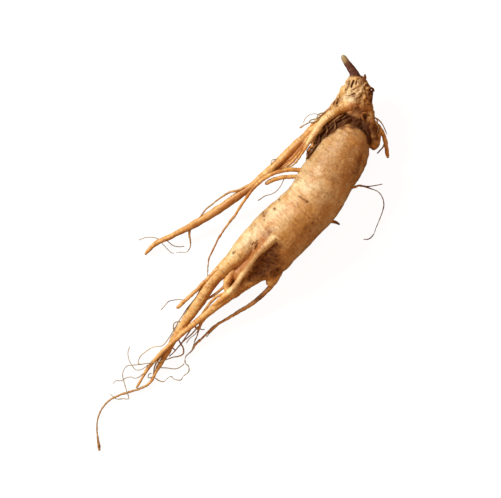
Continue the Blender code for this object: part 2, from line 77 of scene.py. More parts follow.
# The light: places in millimetres, colours as linear red, green and blue
LAMP_PLACE = (80, 1000, 680)
LAMP_AIM = (-20, 10, 10)
LAMP_SIZE = 350
LAMP_WATTS = 19.0
LAMP_COLOUR = (0.94, 1.0, 1.0)
SURROUND_COLOUR = (1.0, 0.56, 0.3, 1.0)
SURROUND_STRENGTH = 0.64
FLOOR_SIZE = 6000
FLOOR_GLOW_STRENGTH = 0.94

# Stations of every root, as in the solid: (along, across, height, radius), thick end first
TAPROOT = [
    (48.7, -0.3, LIE, 1.2), (48.2, -0.3, LIE, 3.8), (46.6, -0.3, LIE, 6.9), (43.2, -0.5, LIE, 9.5),
    (40, -0.6, LIE, 10.9), (36, -0.8, LIE, 12.2), (30, -0.6, LIE, 13.1), (20, -0.3, LIE, TAPROOT_RADIUS),
    (10, -0.7, LIE, TAPROOT_RADIUS), (3, -0.3, LIE, TAPROOT_RADIUS), (-5, 1.4, 13.4, 13.9),
    (-12, 3.1, 13.7, 14.2), (-20, 4.9, 13.8, 14.3), (-25, 5.9, 13.6, 14.1), (-29, 6.6, 13.1, 13),
    (-33, 7.4, 13, 10.6), (-37, 8.3, 13.2, 7.9), (-41, 9.6, 13.2, 5.6), (-45, 11.4, 13.2, 3.9),
    (-48, 12.4, 13.1, 3.1), (-49.6, 12.8, 13.1, 1.4),
]
UPPER_LEG = [
    (-14, 9.4, 12.2, 6), (-19, 11.2, 12.2, 7.6), (-25, 13, 12, 7.5), (-30, 14.3, 11.9, 7),
    (-35, 15.8, 11.8, 6), (-40, 17.4, 11.6, 4.6), (-45, 18.9, 11.3, 3.7), (-50, 20, 10.9, 3.3),
    (-57, 21, 10.1, 3.1), (-65, 21, 9, 3), (-71, 21.2, 8, 2.8), (-78, 21.7, 6.7, 2.4), (-85, 22, 5.5, 2),
    (-91, 21.9, 4.5, 1.8), (-98, 21.4, 3.5, 1.6), (-105, 21.2, 2.6, 1.35), (-110, 20.9, 2.1, 1),
    (-114, 20.4, 1.8, 0.7),
]
UPPER_LEG_TAIL = [
    (-110, 21, 2.1, 0.6), (-113.5, 20.4, 1.8, 0.72), (-117, 21, 1.5, 0.65), (-121, 23.4, 1.3, 0.6),
    (-125, 26.8, 1.3, 0.6), (-129, 30.2, 1.4, 0.55), (-134, 33.2, 1.4, 0.5), (-140, 34.1, 1.3, 0.45),
    (-145.5, 33, 1.1, 0.4), (-150.5, 30.2, 0.9, 0.42), (-154, 27.4, 0.9, 0.6), (-156.6, 25.2, 0.9, 0.8),
    (-158.2, 23.9, 0.9, 0.5),
]
LOWER_LEG = [
    (-16, 1.6, 11.2, 8.6), (-22, 1.4, 11, 9.4), (-27, 1, 10.8, 9.3), (-31, 1, 10.7, 8.3),
    (-35, 1.6, 10.6, 6.7), (-40, 3.5, 10.6, 4.6), (-45, 5.2, 10.6, 3.7), (-50, 7.6, 10.5, 2.7),
    (-55, 9, 10.4, 2.4), (-60, 10.7, 10.2, 2.25), (-64, 12.2, 9.9, 2), (-69, 14.1, 9.5, 1.85),
    (-75, 16.1, 9, 1.6), (-80, 17.9, 8.4, 1.45), (-85, 19.5, 7.9, 1.3), (-90, 21, 7.5, 1.2),
    (-96, 22.7, 6.9, 1.1), (-101, 23.9, 6, 1), (-106, 24.7, 4.8, 0.95), (-111, 25.2, 3.6, 0.85),
    (-116, 25.1, 2.6, 0.75), (-120.5, 25, 2, 0.6), (-121.7, 25, 1.9, 0.3),
]
FRONT_LATERAL = [
    (-19.6, 5.4, 21, 1.3), (-21.4, 6, 23.2, 1.7), (-25, 7.6, 23.5, 1.7), (-30, 8.9, 22.1, 1.6),
    (-35, 9.4, 19.6, 1.4), (-40, 9.7, 17.3, 1.4), (-45, 9.9, 15.6, 1.4), (-50, 10.1, 14.3, 1.5),
    (-55, 10.7, 13.1, 1.6), (-60, 12, 11.9, 1.6), (-64, 13.2, 10.8, 1.3), (-67, 14.2, 10, 0.8),
]
SIDE_ROOT = [
    (58.6, 0.4, 16.6, 2.2), (58, 4.6, 18.3, 2.9), (55.8, 8.4, 18.4, 3), (53, 11.4, 17.5, 2.9),
    (49, 13.9, 16.9, 2.5), (44, 15.6, 16.3, 2.2), (39, 17.8, 15.4, 1.9), (34, 19.2, 14.5, 1.8),
    (29, 20.2, 13.8, 2.1), (24, 21.3, 13.2, 2.5), (19, 22.6, 12.6, 2.5), (14, 23.8, 12.1, 2.4),
    (9, 25.2, 11.5, 2.2), (4, 26.9, 10.9, 2), (-1, 28.4, 10.2, 1.8), (-6, 30, 9.5, 1.8), (-11, 32, 8.8, 2),
    (-17, 34.6, 8, 2.1), (-23, 37.2, 7.3, 2.1), (-29, 40, 6.6, 2.1), (-34, 42.6, 6, 2),
    (-39, 45.3, 5.5, 1.8), (-44, 48.3, 4.9, 1.5), (-49, 51.5, 4.3, 1.4), (-53, 54.2, 3.6, 1.3),
    (-57, 55.9, 2.8, 1.15), (-60, 56.5, 2.1, 1), (-62.3, 56.8, 1.6, 0.5),
]
NECK = [
    (43, 0.4, 11.6, 4.4), (48, 1.4, 11.6, 4.6), (51, 2.6, 12.4, 5), (54, 4.6, 13.5, 6.1),
    (57, 6.3, 14.2, 7.1), (60.5, 8.5, 14.6, 7.6), (64.5, 11, 14.8, 6.6), (67.6, 12.9, 15, 5),
    (69.4, 13.8, 15, 3.2), (70.2, 14.2, 15, 1.4),
]
NECK_LEFT_COLLAR = [
    (60, 10.5, 14.5, 5), (57, 13, 14.5, 4.2), (53.5, 14.6, 14.5, 2.9), (50, 15.8, 14.7, 1.9),
    (46, 17.1, 14.8, 1.2), (42.5, 18.4, 14.8, 0.7),
]
NECK_RIGHT_COLLAR = [
    (59, 4, 14.2, 4.8), (56, 0.2, 14.2, 4.2), (53, -2.9, 13.8, 3.9), (50.9, -6.3, 12.8, 3.6),
    (48.6, -9.8, 11.6, 2.9), (45.8, -11.2, 11, 2.9), (43.6, -11.4, 10.8, 2.2), (42.6, -11.3, 10.8, 0.9),
]
STEM_STUB = [
    (66.6, 12.6, 14.8, 2.4), (69, 14.4, 15.3, 2.4), (70.4, 17, 16.2, 2.25), (71.7, 19.8, 17, 1.95),
    (72.6, 22.2, 17.6, 1.65), (73.4, 24, 18, 1.45), (74.1, 25.2, 18.2, 1.05), (74.5, 25.7, 18.3, 0.4),
]
LOWER_STUB = [
    (-26, 0, 9.4, 4.6), (-32, -2.5, 9.6, 4.2), (-37, -3.9, 9.6, 3.1), (-41, -4, 9.4, 2.5),
    (-42.8, -3.8, 9.4, 1.3),
]

# Short swellings of the neck: (along, across, height, radius), old stem scars and buds
NECK_KNOBS = [
    (60, 14.6, 16, 3.2), (64.4, 13.2, 17.6, 3.2), (61.6, 6.4, 19, 2.9), (66, 7.6, 15.4, 2.8),
    (63.6, 10.4, 19.6, 2.6), (57.4, -0.2, 15.8, 2.6),
]

# Rootlets, in the same form: each starts inside the root that it grows from
ROOTLETS = {
    "long_lateral": [
        (17, 8, 14.2, 1.3), (15, 12.6, 15, 1.3), (13.2, 16, 15.6, 1.15), (10.5, 19.6, 16, 1.1),
        (7.5, 22.5, 16.2, 1.05), (4, 24.9, 16.2, 1), (0, 26.8, 16, 0.95), (-5, 28, 15.2, 0.9),
        (-10, 28.6, 14.2, 0.8), (-16, 28.8, 12.6, 0.7), (-22, 28.9, 11, 0.65), (-29, 29.6, 9.4, 0.6),
        (-36, 29.7, 8.2, 0.55), (-42, 29, 7.6, 0.5), (-46.5, 28.5, 7.4, 0.5), (-50, 27, 7.6, 0.45),
        (-53, 25.4, 8, 0.4), (-54.8, 24.2, 8.5, 0.35),
    ],
    "short_lateral": [
        (12.5, 9, 14, 1.1), (11, 13, 14.8, 1.1), (8.6, 16.6, 15.2, 1.1), (6, 19.8, 15.2, 1.1),
        (3, 22.4, 15, 1.1), (0.4, 23.8, 14.8, 1), (-0.6, 24.2, 14.7, 0.5),
    ],
    "bottom_lateral": [
        (-37, -5, 8.6, 1.3), (-42.5, -5.2, 8.2, 1.25), (-47, -4.2, 7.6, 1.2), (-52, -2.9, 6.8, 1.15),
        (-57, -0.8, 6, 1.1), (-62, 1.8, 5.2, 0.95), (-67, 4.4, 4.5, 0.8), (-72, 6.9, 3.8, 0.75),
        (-77, 8.8, 3.2, 0.7), (-82, 10, 2.6, 0.6), (-87, 11.4, 2.1, 0.65), (-91, 11.3, 1.7, 0.45),
        (-95, 12.2, 1.4, 0.38), (-97.8, 10.8, 1.2, 0.36), (-98.4, 8.6, 1.1, 0.35), (-100.8, 7, 1, 0.34),
        (-104, 8.1, 0.9, 0.32), (-106.3, 8.1, 0.8, 0.3), (-107.7, 11, 0.8, 0.3), (-107.4, 13.2, 0.8, 0.3),
        (-109.5, 14.3, 0.8, 0.3), (-111.6, 15, 0.9, 0.3), (-112.4, 17.2, 1.1, 0.3),
        (-112.2, 19.8, 1.5, 0.3),
    ],
    "upper_short_root": [
        (-41, 19, 12.6, 1.1), (-47, 21.2, 12.8, 1.05), (-52, 22.7, 12.4, 0.95), (-58, 24.1, 11.7, 0.95),
        (-64, 25.4, 11, 1), (-70, 27.1, 10.4, 1), (-75.4, 28.6, 10, 0.9), (-76.5, 28.9, 9.9, 0.5),
    ],
    "side_root_arc": [
        (-5, 30.8, 10, 0.7), (-10, 34, 10.2, 0.65), (-13, 37, 9.8, 0.6), (-17, 39.2, 9.2, 0.55),
        (-22, 41.2, 8.5, 0.5), (-27, 42.8, 7.8, 0.5), (-31.5, 43.2, 7.2, 0.5), (-35, 43.2, 6.6, 0.5),
    ],
    "side_root_branch": [
        (-37.5, 45, 5.2, 0.8), (-40.5, 44, 4.7, 0.65), (-42.5, 42.8, 4.1, 0.55), (-44.5, 41, 3.3, 0.5),
        (-46.5, 39.7, 2.6, 0.42), (-48.7, 39.4, 2, 0.36), (-50.6, 40.1, 1.5, 0.32), (-51.6, 42, 1.1, 0.3),
        (-53.2, 44, 0.8, 0.3),
    ],
    "side_root_hair": [
        (-50, 52, 4, 0.4), (-50.8, 49.3, 3, 0.32), (-50.9, 47, 2.2, 0.3), (-50, 44.6, 1.4, 0.3),
        (-48.3, 42.3, 0.8, 0.3),
    ],
    "side_root_upper_hair": [
        (-52, 54.4, 4, 0.35), (-52.7, 57.6, 3.4, 0.3), (-54.6, 60.8, 2.4, 0.3), (-57.8, 63.4, 1.2, 0.3),
    ],
    "front_strand": [
        (47, 14.6, 17.4, 1.6), (43, 15.8, 17.6, 1.7), (38, 16.6, 17.4, 1.7), (33, 16.8, 16.8, 1.6),
        (28.5, 16.9, 16.1, 1.2), (25, 16.8, 15.6, 0.8), (21, 16.9, 15, 0.65), (16, 17.2, 14.6, 0.6),
        (13.5, 18.4, 14.2, 0.5), (11.5, 20.2, 13.6, 0.4),
    ],
    "middle_strand": [
        (34, 18.2, 15.2, 1), (30, 18.5, 14.7, 1.2), (26, 18.6, 14.3, 1.3), (21, 19.1, 13.8, 1.2),
        (17, 20.2, 13.2, 1), (13, 22, 12.6, 0.7),
    ],
    "cleft_rootlet_low": [
        (53, 4.6, 14, 1.5), (48, 6.6, 15.6, 1.5), (43, 8.8, 16.4, 1.4), (37, 10.9, 16.4, 1.1),
        (31, 12.3, 15.8, 0.9), (25, 13.3, 15.2, 0.6), (21, 13.8, 14.8, 0.35),
    ],
    "cleft_bundle": [
        (54, 6.6, 12.2, 2.4), (48, 9.6, 13, 2.6), (42, 12.4, 13.4, 2.5), (36, 14, 13.4, 2),
        (31, 14.4, 13.2, 1.5), (27, 14.4, 13.2, 0.9), (24.5, 14.4, 13.2, 0.4),
    ],
    "cleft_rootlet_high": [
        (54.5, 8.6, 14.8, 1.2), (49, 10.2, 15.6, 1.2), (41, 13, 15.6, 1.1), (35, 14.2, 15.2, 0.8),
        (29, 14.9, 14.6, 0.55), (25, 15.4, 14.2, 0.35),
    ],
    "neck_hook": [
        (54.6, -3, 13.2, 1.5), (53.8, -8.5, 12.4, 1.3), (52.6, -11.5, 11.2, 1.2), (50.8, -14.3, 9.6, 1.1),
        (48, -17, 7.6, 1.05), (45, -19.6, 5.8, 1), (43.5, -20.9, 5, 0.5),
    ],
    "neck_thin_hook": [
        (55.2, -2, 15.4, 0.5), (56.7, -5.6, 15.2, 0.45), (56.2, -9, 14, 0.4), (54.6, -11.8, 12.6, 0.35),
        (53, -14.2, 11.2, 0.3),
    ],
    "neck_dark_hair": [(50.4, -14.6, 9.4, 0.35), (47, -15.8, 7.8, 0.3), (43, -15.2, 6.6, 0.3)],
    "neck_curl": [
        (53.8, -2.8, 16, 0.6), (52.9, -1.6, 17.6, 0.6), (52.8, 0, 18.8, 0.6), (53.6, 1.2, 19.4, 0.6),
        (54.9, 1.6, 19.8, 0.6), (55.8, 0.8, 20, 0.6), (56.1, -0.6, 19.4, 0.55), (56, -1.8, 17.8, 0.5),
    ],
    "neck_left_hair": [
        (45, 17.2, 14.8, 0.4), (41, 18.9, 15, 0.35), (38.6, 20.2, 14.6, 0.35), (36.6, 22.4, 13.6, 0.3),
        (33, 24.3, 12.6, 0.3),
    ],
    "crown_spur": [(66.5, 10.2, 15, 1.4), (69, 10.6, 15.3, 1), (71, 10.9, 15.6, 0.4)],
    "crown_scale": [(62, 3.2, 14, 1.5), (65, 2.8, 14.2, 0.9), (68.3, 3.9, 14.8, 0.35)],
    "right_hair": [
        (17, -10, 12.4, 0.8), (21.5, -14, 11.4, 0.7), (24, -16.2, 10.4, 0.6), (25.3, -19.4, 9, 0.5),
        (25.9, -22.4, 7.6, 0.4), (26.5, -25.3, 6, 0.36), (26, -27.8, 4.8, 0.35), (24.4, -30.2, 3.6, 0.33),
        (22, -32.1, 2.8, 0.33), (17.6, -33.4, 2, 0.33), (12, -34.4, 1.3, 0.33), (7, -35.3, 0.8, 0.33),
        (3.9, -34.4, 0.8, 0.33), (2.5, -32.4, 0.9, 0.3),
    ],
    "right_hair_fork": [(25, -18.6, 9.4, 0.4), (27.4, -21.8, 8, 0.35), (30.9, -25.6, 6.4, 0.3)],
    "right_stub": [
        (-0.5, -10, 11.2, 0.95), (1.6, -14.4, 10.6, 0.85), (2.2, -16.4, 10.2, 0.75), (2.2, -18, 10, 0.5),
    ],
    "fork_bulb": [
        (-45, 14.6, 11, 2.5), (-48.6, 14.6, 11.6, 2.3), (-51.8, 14.4, 11.9, 2.2), (-54.2, 13.2, 11.9, 1.8),
        (-56.4, 11.6, 11.6, 1.2),
    ],
    "fork_strand": [
        (-49, 13.6, 10.6, 1), (-54, 14.3, 10.2, 0.8), (-58, 15.5, 9.8, 0.7), (-62, 17.1, 9.3, 0.65),
        (-66, 19, 9, 0.55),
    ],
    "fork_arc": [
        (-55, 11, 11.6, 0.8), (-58.3, 13.2, 11.2, 0.8), (-60.6, 14.9, 10.9, 0.8), (-64, 15.9, 10.4, 0.75),
        (-68, 16.4, 10, 0.65), (-71.5, 16.7, 9.6, 0.5), (-75.5, 16.6, 9.2, 0.4),
    ],
    "fork_web": [
        (-44, 3, 10.2, 1.3), (-48, 3.8, 10.2, 0.9), (-51.5, 5.3, 10.2, 0.75), (-55, 6.8, 10.3, 0.9),
        (-59, 9, 10.2, 1),
    ],
    "fork_hair": [
        (-68, 25.8, 10.4, 0.4), (-70.6, 27.4, 11, 0.35), (-72.6, 30.8, 9.8, 0.32), (-75.6, 34, 8.6, 0.3),
        (-78.4, 34.6, 7.6, 0.3), (-81.6, 35.2, 6.6, 0.3),
    ],
    "leg_loop": [
        (-81, 23.2, 6.4, 0.45), (-82.7, 25.6, 6.8, 0.4), (-84.2, 26, 6.8, 0.4), (-86, 25, 6.2, 0.4),
        (-87.6, 23.4, 5.4, 0.35),
    ],
    "tangle_stub": [
        (-71.5, 14.6, 9.2, 1.2), (-75.5, 14.7, 8.2, 0.95), (-78, 14.4, 7.2, 0.8), (-80.4, 13.8, 6, 0.55),
        (-83, 13, 4.8, 0.4), (-85.5, 12.6, 3.6, 0.35), (-88, 12, 2.4, 0.3),
    ],
    "tangle_link": [(-78.8, 17.4, 8.2, 0.5), (-79.8, 15.4, 7.2, 0.5), (-80.2, 13.6, 6, 0.35)],
    "tangle_low_strand": [
        (-78.6, 14.9, 7.2, 0.5), (-84, 15.8, 5.6, 0.42), (-88, 17, 5, 0.42), (-92, 17.9, 4.4, 0.4),
        (-95.5, 18.4, 4, 0.4), (-99.2, 19.3, 3.6, 0.35),
    ],
    "tangle_high_strand": [
        (-77.5, 17.4, 8.6, 0.6), (-82, 17.4, 7, 0.5), (-87, 17.4, 5.8, 0.42), (-91.5, 17.7, 4.6, 0.4),
    ],
    "tangle_post": [(-95, 18, 4, 0.4), (-94.8, 19.6, 4, 0.4), (-94.6, 21.2, 4, 0.35)],
    "tangle_hook": [(-78.2, 14.4, 7, 0.4), (-79.2, 13.1, 5.8, 0.35), (-78.2, 11.5, 5, 0.3)],
    "long_loop": [
        (-89.2, 20.6, 5, 0.5), (-90.6, 18, 4, 0.45), (-91.8, 15.8, 3.4, 0.45), (-94.3, 14.1, 2.8, 0.45),
        (-96.7, 15.4, 2.8, 0.42), (-99, 17.8, 3.4, 0.4), (-101.5, 19.9, 4.6, 0.4), (-103.6, 21.6, 5.6, 0.4),
        (-105.4, 23.6, 6.4, 0.4), (-106.9, 25.4, 6.4, 0.38), (-108.6, 27.6, 5.4, 0.36),
        (-110.6, 29.9, 4.2, 0.35), (-112.7, 32.6, 3, 0.33), (-114.4, 34.7, 2.2, 0.32),
        (-117, 35.1, 1.7, 0.3), (-119.6, 34.3, 1.6, 0.3), (-121.8, 32.3, 1.8, 0.3),
        (-123.8, 30.1, 2.3, 0.3), (-125.6, 28, 2.8, 0.3), (-126.9, 26.3, 1.9, 0.3), (-128.3, 25.4, 1, 0.3),
        (-129.6, 27.6, 1.2, 0.3), (-131.3, 30.2, 2.4, 0.3), (-131.3, 32.3, 2.8, 0.3),
        (-131, 34.5, 2.2, 0.3),
    ],
    "tip_curl": [
        (-111.5, 25.2, 3.6, 0.4), (-115.5, 26.5, 2.6, 0.35), (-117.7, 28, 1.9, 0.3),
        (-118.3, 30.2, 1.3, 0.3), (-120, 32, 0.8, 0.3), (-122.6, 33.5, 0.7, 0.3), (-123.8, 35.5, 0.7, 0.3),
        (-125.9, 36.2, 0.7, 0.3),
    ],
    "tail_strand": [
        (-97, 22.2, 4.2, 0.6), (-102, 22.9, 3.9, 0.5), (-107, 22.9, 3.4, 0.45), (-111, 21.4, 2.5, 0.4),
    ],
}

# Hairs, strands and flakes that the solid leaves out, at their true radius
HAIRS = {
    "leg_hair_long": [
        (-108.5, 27.5, 5.2, 0.26), (-110.5, 30.5, 4.6, 0.26), (-107, 31.6, 4.2, 0.26),
        (-103, 30.5, 4, 0.26), (-100, 29, 4, 0.26), (-98, 27, 4.4, 0.26), (-96.2, 25, 5, 0.26),
        (-92, 24.4, 5.4, 0.28), (-86, 24.4, 6, 0.28), (-80, 24.6, 6.8, 0.28), (-73, 24.3, 7.8, 0.3),
        (-67, 23.6, 8.6, 0.3),
    ],
    "leg_hair_loop": [
        (-108.6, 26.2, 4.8, 0.22), (-112, 27.6, 3.8, 0.2), (-113.8, 30, 3, 0.2), (-113.2, 32.5, 2.4, 0.2),
        (-111.2, 35.8, 1.8, 0.2), (-108.6, 38, 1.2, 0.2), (-105.5, 38.8, 0.6, 0.18),
    ],
    "leg_hair_cross": [
        (-106.5, 20.4, 3.4, 0.26), (-104.8, 17.4, 2.6, 0.25), (-103.3, 14, 1.8, 0.25),
        (-101.2, 12, 1.2, 0.25), (-98.5, 11, 0.7, 0.25),
    ],
    "tangle_hair": [(-80.5, 14, 6, 0.2), (-83, 14.3, 5.2, 0.2), (-86, 15.4, 4.6, 0.2), (-89, 15.5, 4, 0.2)],
    "short_lateral_hair": [
        (7, 17.6, 15.2, 0.22), (3.2, 17.2, 13.6, 0.22), (0, 17.6, 12, 0.22), (-3, 19, 10.6, 0.24),
        (-5.4, 21.2, 9.4, 0.28), (-9.2, 23, 8, 0.34),
    ],
    "side_root_thin_hair": [
        (-53, 52.6, 3.4, 0.2), (-53.5, 50.4, 2.8, 0.18), (-54, 48.5, 2.2, 0.18), (-54.5, 46.4, 1.5, 0.18),
        (-54, 44.8, 0.8, 0.16),
    ],
    "neck_arc_hair": [
        (43.2, 18.6, 15.6, 0.18), (42.6, 21.4, 16.4, 0.17), (40.8, 23.6, 16.4, 0.16),
        (38.2, 24.6, 15.6, 0.16), (35.8, 24.4, 14.6, 0.14),
    ],
    "neck_left_strand": [
        (49, 16.4, 14.8, 0.9), (46.2, 17.6, 15.2, 0.75), (42.4, 18.9, 15.6, 0.6), (38.1, 20, 15.6, 0.65),
        (33.9, 20.7, 14.8, 0.7), (30.1, 20.9, 14, 0.7), (26, 21, 13.6, 0.5),
    ],
    "neck_left_blob": [
        (36.8, 22.2, 13.7, 0.3), (34.8, 23.4, 13.2, 0.34), (33.2, 24.2, 12.6, 0.5), (32.6, 24.5, 12.3, 0.3),
    ],
    "tuft_1": [
        (47.6, 16.6, 16, 0.35), (45.2, 18.2, 17, 0.3), (43.4, 19.9, 17.2, 0.28), (41.4, 20, 16.8, 0.26),
        (39.8, 19.2, 16.4, 0.24),
    ],
    "tuft_3": [
        (46, 16.8, 15.2, 0.35), (43, 17.9, 16.8, 0.3), (40.6, 18.9, 17.4, 0.3), (38.6, 20.2, 17, 0.28),
        (37.6, 21.4, 16.2, 0.26),
    ],
    "tuft_5": [
        (44, 17.4, 14.6, 0.4), (41, 19.6, 14.4, 0.32), (38.8, 21.8, 13.8, 0.3), (37, 22, 13.2, 0.28),
    ],
    "cleft_fibre_1": [
        (52, 4.4, 16, 0.8), (48.6, 6, 17, 0.7), (44.6, 7.4, 17.4, 0.6), (40.4, 9.2, 17.2, 0.55),
        (36.6, 10, 17, 0.5), (33.2, 11.4, 16.4, 0.4), (30, 11.4, 16.2, 0.25),
    ],
    "cleft_fibre_2": [
        (53, 6.4, 16.6, 0.7), (49, 8.2, 17, 0.6), (45, 10.4, 17, 0.6), (40, 11.6, 17.2, 0.5),
        (35, 11.8, 17, 0.45), (30.6, 13.6, 15.6, 0.6), (26.6, 14, 15, 0.35),
    ],
    "cleft_fibre_3": [
        (50, 9.8, 16.6, 0.6), (46, 11.2, 17.2, 0.6), (41, 12.6, 17, 0.5), (36.6, 14.4, 16.6, 0.5),
        (32.6, 14.2, 15.6, 0.5), (29, 13.4, 15.6, 0.3),
    ],
    "cleft_fibre_4": [
        (40, 10.2, 16.8, 0.5), (35.6, 12, 16.8, 0.45), (31, 12.8, 16.4, 0.45), (27, 12.8, 16, 0.75),
        (23.4, 13.2, 14.8, 0.6), (20.4, 13.2, 14.2, 0.25),
    ],
    "web_strand_1": [
        (27, 17.8, 15, 0.8), (22, 18, 14.4, 0.8), (17, 18.6, 14, 0.8), (13.5, 19.6, 13.4, 0.6),
        (11, 21, 12.8, 0.4),
    ],
    "web_strand_2": [
        (22, 19, 13.6, 0.9), (17, 19.6, 13.2, 0.9), (13, 20.8, 12.6, 0.8), (9.5, 22.4, 12, 0.7),
        (6, 23.6, 11.4, 0.5),
    ],
    "cleft_edge": [
        (33, 14.6, 16, 0.9), (29.5, 14.8, 15.6, 1.1), (26, 14.4, 15.2, 1), (23, 13.8, 14.8, 0.7),
        (20.5, 13.4, 14.4, 0.35),
    ],
    "cleft_cross_1": [(45, 11.6, 17.4, 0.5), (42, 9.6, 18.2, 0.5), (39.6, 8.8, 18, 0.3)],
    "cleft_cross_2": [(40.4, 13.6, 17.4, 0.5), (38, 11.8, 18, 0.5), (35, 10.8, 17.6, 0.3)],
    "cleft_cross_3": [(35.4, 14.6, 16.6, 0.5), (32.6, 13, 17, 0.5), (29.6, 12.4, 16.6, 0.3)],
    "fork_fill": [(-47.5, 12.6, 8.5, 1.2), (-50.5, 12.4, 8, 1.3), (-53.5, 12.9, 7.5, 0.9)],
    "cleft_flake": [(43.6, 7, 17.6, 0.5), (41.4, 7.6, 18.2, 0.4), (40, 8.6, 18, 0.2)],
    "crown_spike_1": [
        (63.4, 6, 17, 1.1), (65.6, 4.6, 17.6, 0.9), (67.6, 5.4, 17.8, 0.6), (68.8, 6.6, 17.8, 0.25),
    ],
    "crown_spike_2": [
        (61.2, 4, 17, 1), (63.6, 2.8, 17.4, 0.8), (65.8, 3.2, 17.4, 0.5), (67.2, 4.2, 17.2, 0.22),
    ],
    "crown_spike_3": [(65, 8.6, 18, 1), (67.4, 8, 18.2, 0.7), (69.6, 9, 18, 0.3)],
    "crown_spike_4": [
        (58.4, 1.6, 17, 0.9), (60.6, 0.6, 17.2, 0.7), (63, 1.2, 17, 0.4), (64.4, 2, 16.8, 0.2),
    ],
    "crown_flake_1": [(60, 2.6, 19.4, 0.7), (62.4, 3.4, 20.2, 0.6), (64.6, 4.8, 20, 0.3)],
    "crown_flake_2": [(57.6, 2.6, 20, 0.6), (60, 4.6, 21.2, 0.6), (62, 6.4, 21.4, 0.3)],
    "crown_spur": [
        (67.4, 10.6, 17.6, 1.3), (69.6, 10.2, 18.4, 1.2), (71.2, 10.5, 18.8, 0.8), (72.2, 11.2, 18.8, 0.25),
    ],
    "crown_curl": [
        (65.8, 6.8, 19.2, 0.9), (67.4, 5.6, 19.6, 0.8), (68.2, 4, 19, 0.6), (67.4, 2.8, 18.2, 0.4),
    ],
    "knob_tangle_1": [
        (54.4, -3.4, 15, 0.5), (54.8, -6.2, 15.6, 0.42), (53.4, -8.8, 15.4, 0.38), (51, -9.6, 15, 0.35),
        (48.8, -10.6, 14.6, 0.32), (47.4, -12.6, 13.6, 0.3),
    ],
    "knob_tangle_2": [
        (55, -4.4, 14, 0.45), (54.4, -8, 14, 0.4), (52.2, -10.2, 13.4, 0.38), (50.2, -10.4, 14, 0.34),
        (49.8, -8.6, 15.2, 0.3), (51.2, -7.4, 15.8, 0.26),
    ],
    "knob_tangle_3": [
        (52.6, -10.4, 12.2, 0.5), (50, -12, 12.6, 0.42), (47.4, -12.6, 12.4, 0.38),
        (45.2, -13.8, 11.4, 0.3),
    ],
    "knob_tangle_4": [
        (55.6, -1.6, 16.6, 0.45), (56.6, -3.8, 16.6, 0.4), (56.2, -6.2, 15.8, 0.34),
        (54.8, -7.2, 15.2, 0.3),
    ],
    "knob_seam": [
        (52.4, 0.2, 16.8, 0.8), (50.4, -2.6, 16.6, 0.8), (48.4, -5.6, 15.6, 0.8), (45.6, -8.2, 14, 0.7),
        (43.4, -9, 12.6, 0.4),
    ],
    "dark_hair_over": [
        (50, -14.9, 9.6, 0.42), (47, -15.9, 8.2, 0.4), (44.6, -15.6, 7.4, 0.4), (42.6, -15.2, 6.8, 0.36),
    ],
    "side_root_rim": [
        (13, 25.8, 13.4, 0.3), (12.2, 27.4, 13.8, 0.22), (10.4, 27.6, 13.6, 0.2), (9.4, 26.6, 13, 0.2),
    ],
    "tail_loop": [
        (-112.8, 21.2, 2.6, 0.28), (-114, 22.5, 2.4, 0.26), (-112.5, 23.2, 2.4, 0.24),
        (-111, 22.5, 2.6, 0.22),
    ],
    "lateral_double": [
        (-72, 6.6, 4, 0.3), (-75, 7.4, 3.9, 0.28), (-78, 8.2, 3.4, 0.26), (-81, 8.6, 3, 0.24),
    ],
}

# Roots that are fused into the one skin: stations, sides, swell, ring wrinkles' depth and pitch
BODY = [
    (UPPER_LEG, 80, 0.35, 0.10, 1.3), (LOWER_LEG, 80, 0.25, 0.10, 1.2), (FRONT_LATERAL, 36, 0.2, 0.08, 1.2),
    (SIDE_ROOT, 40, 0.3, 0.10, 1.4), (NECK, 120, 1.2, 0, 1), (NECK_LEFT_COLLAR, 60, 0.6, 0.1, 1.6),
    (NECK_RIGHT_COLLAR, 70, 0.8, 0.15, 1.5), (STEM_STUB, 40, 0.2, 0.05, 1.1),
    (LOWER_STUB, 60, 0.5, 0.1, 1.3),
]

# Colours judged from the photo, as sRGB
CREAM = "#E0D0A4"
OCHRE = "#C08A48"
# Painted shade, partly the skin's own tone: the warmer, darker tan of the taproot's side away from the lamp
SHADE_SIDE_TAN = "#B98846"
# Pale cream, also painted light where the lamp leaves parts darker
PALE_CREAM = "#EED49E"
SHOULDER_TAN = "#AA783A"
HONEY = "#E2BC74"
RUSSET = "#BE7C2E"
RUSSET_DARK = "#83481F"
UMBER = "#825424"
# Soil brown, also the painted shadow in the neck's cleft
SOIL_AND_SHADE_BROWN = "#4B2B1B"
EARTH = "#8A5E36"
SCAR_BROWN = "#623A1E"
STEM_PURPLE = "#5F3B2C"
STEM_RED = "#4A2622"
HAIR_BROWN = "#988A64"
# Painted shade: the orange of hollows, lower edges and gaps between roots
SHADE_ORANGE = "#A5682C"
STEM_TIP = "#988A64"
FLOOR_GREY = "#616161"
FLOOR_GLOW = "#FFFFFF"

# Numbers that are kept on the vertices for the skin's material to read
KEPT = (
    "along", "girth", "shelter", "soil_and_shade", "blotch_and_shade", "marks", "shoulder", "shade_side", "pale", "orange_shade", "cleft",
    "stem", "tip",
)

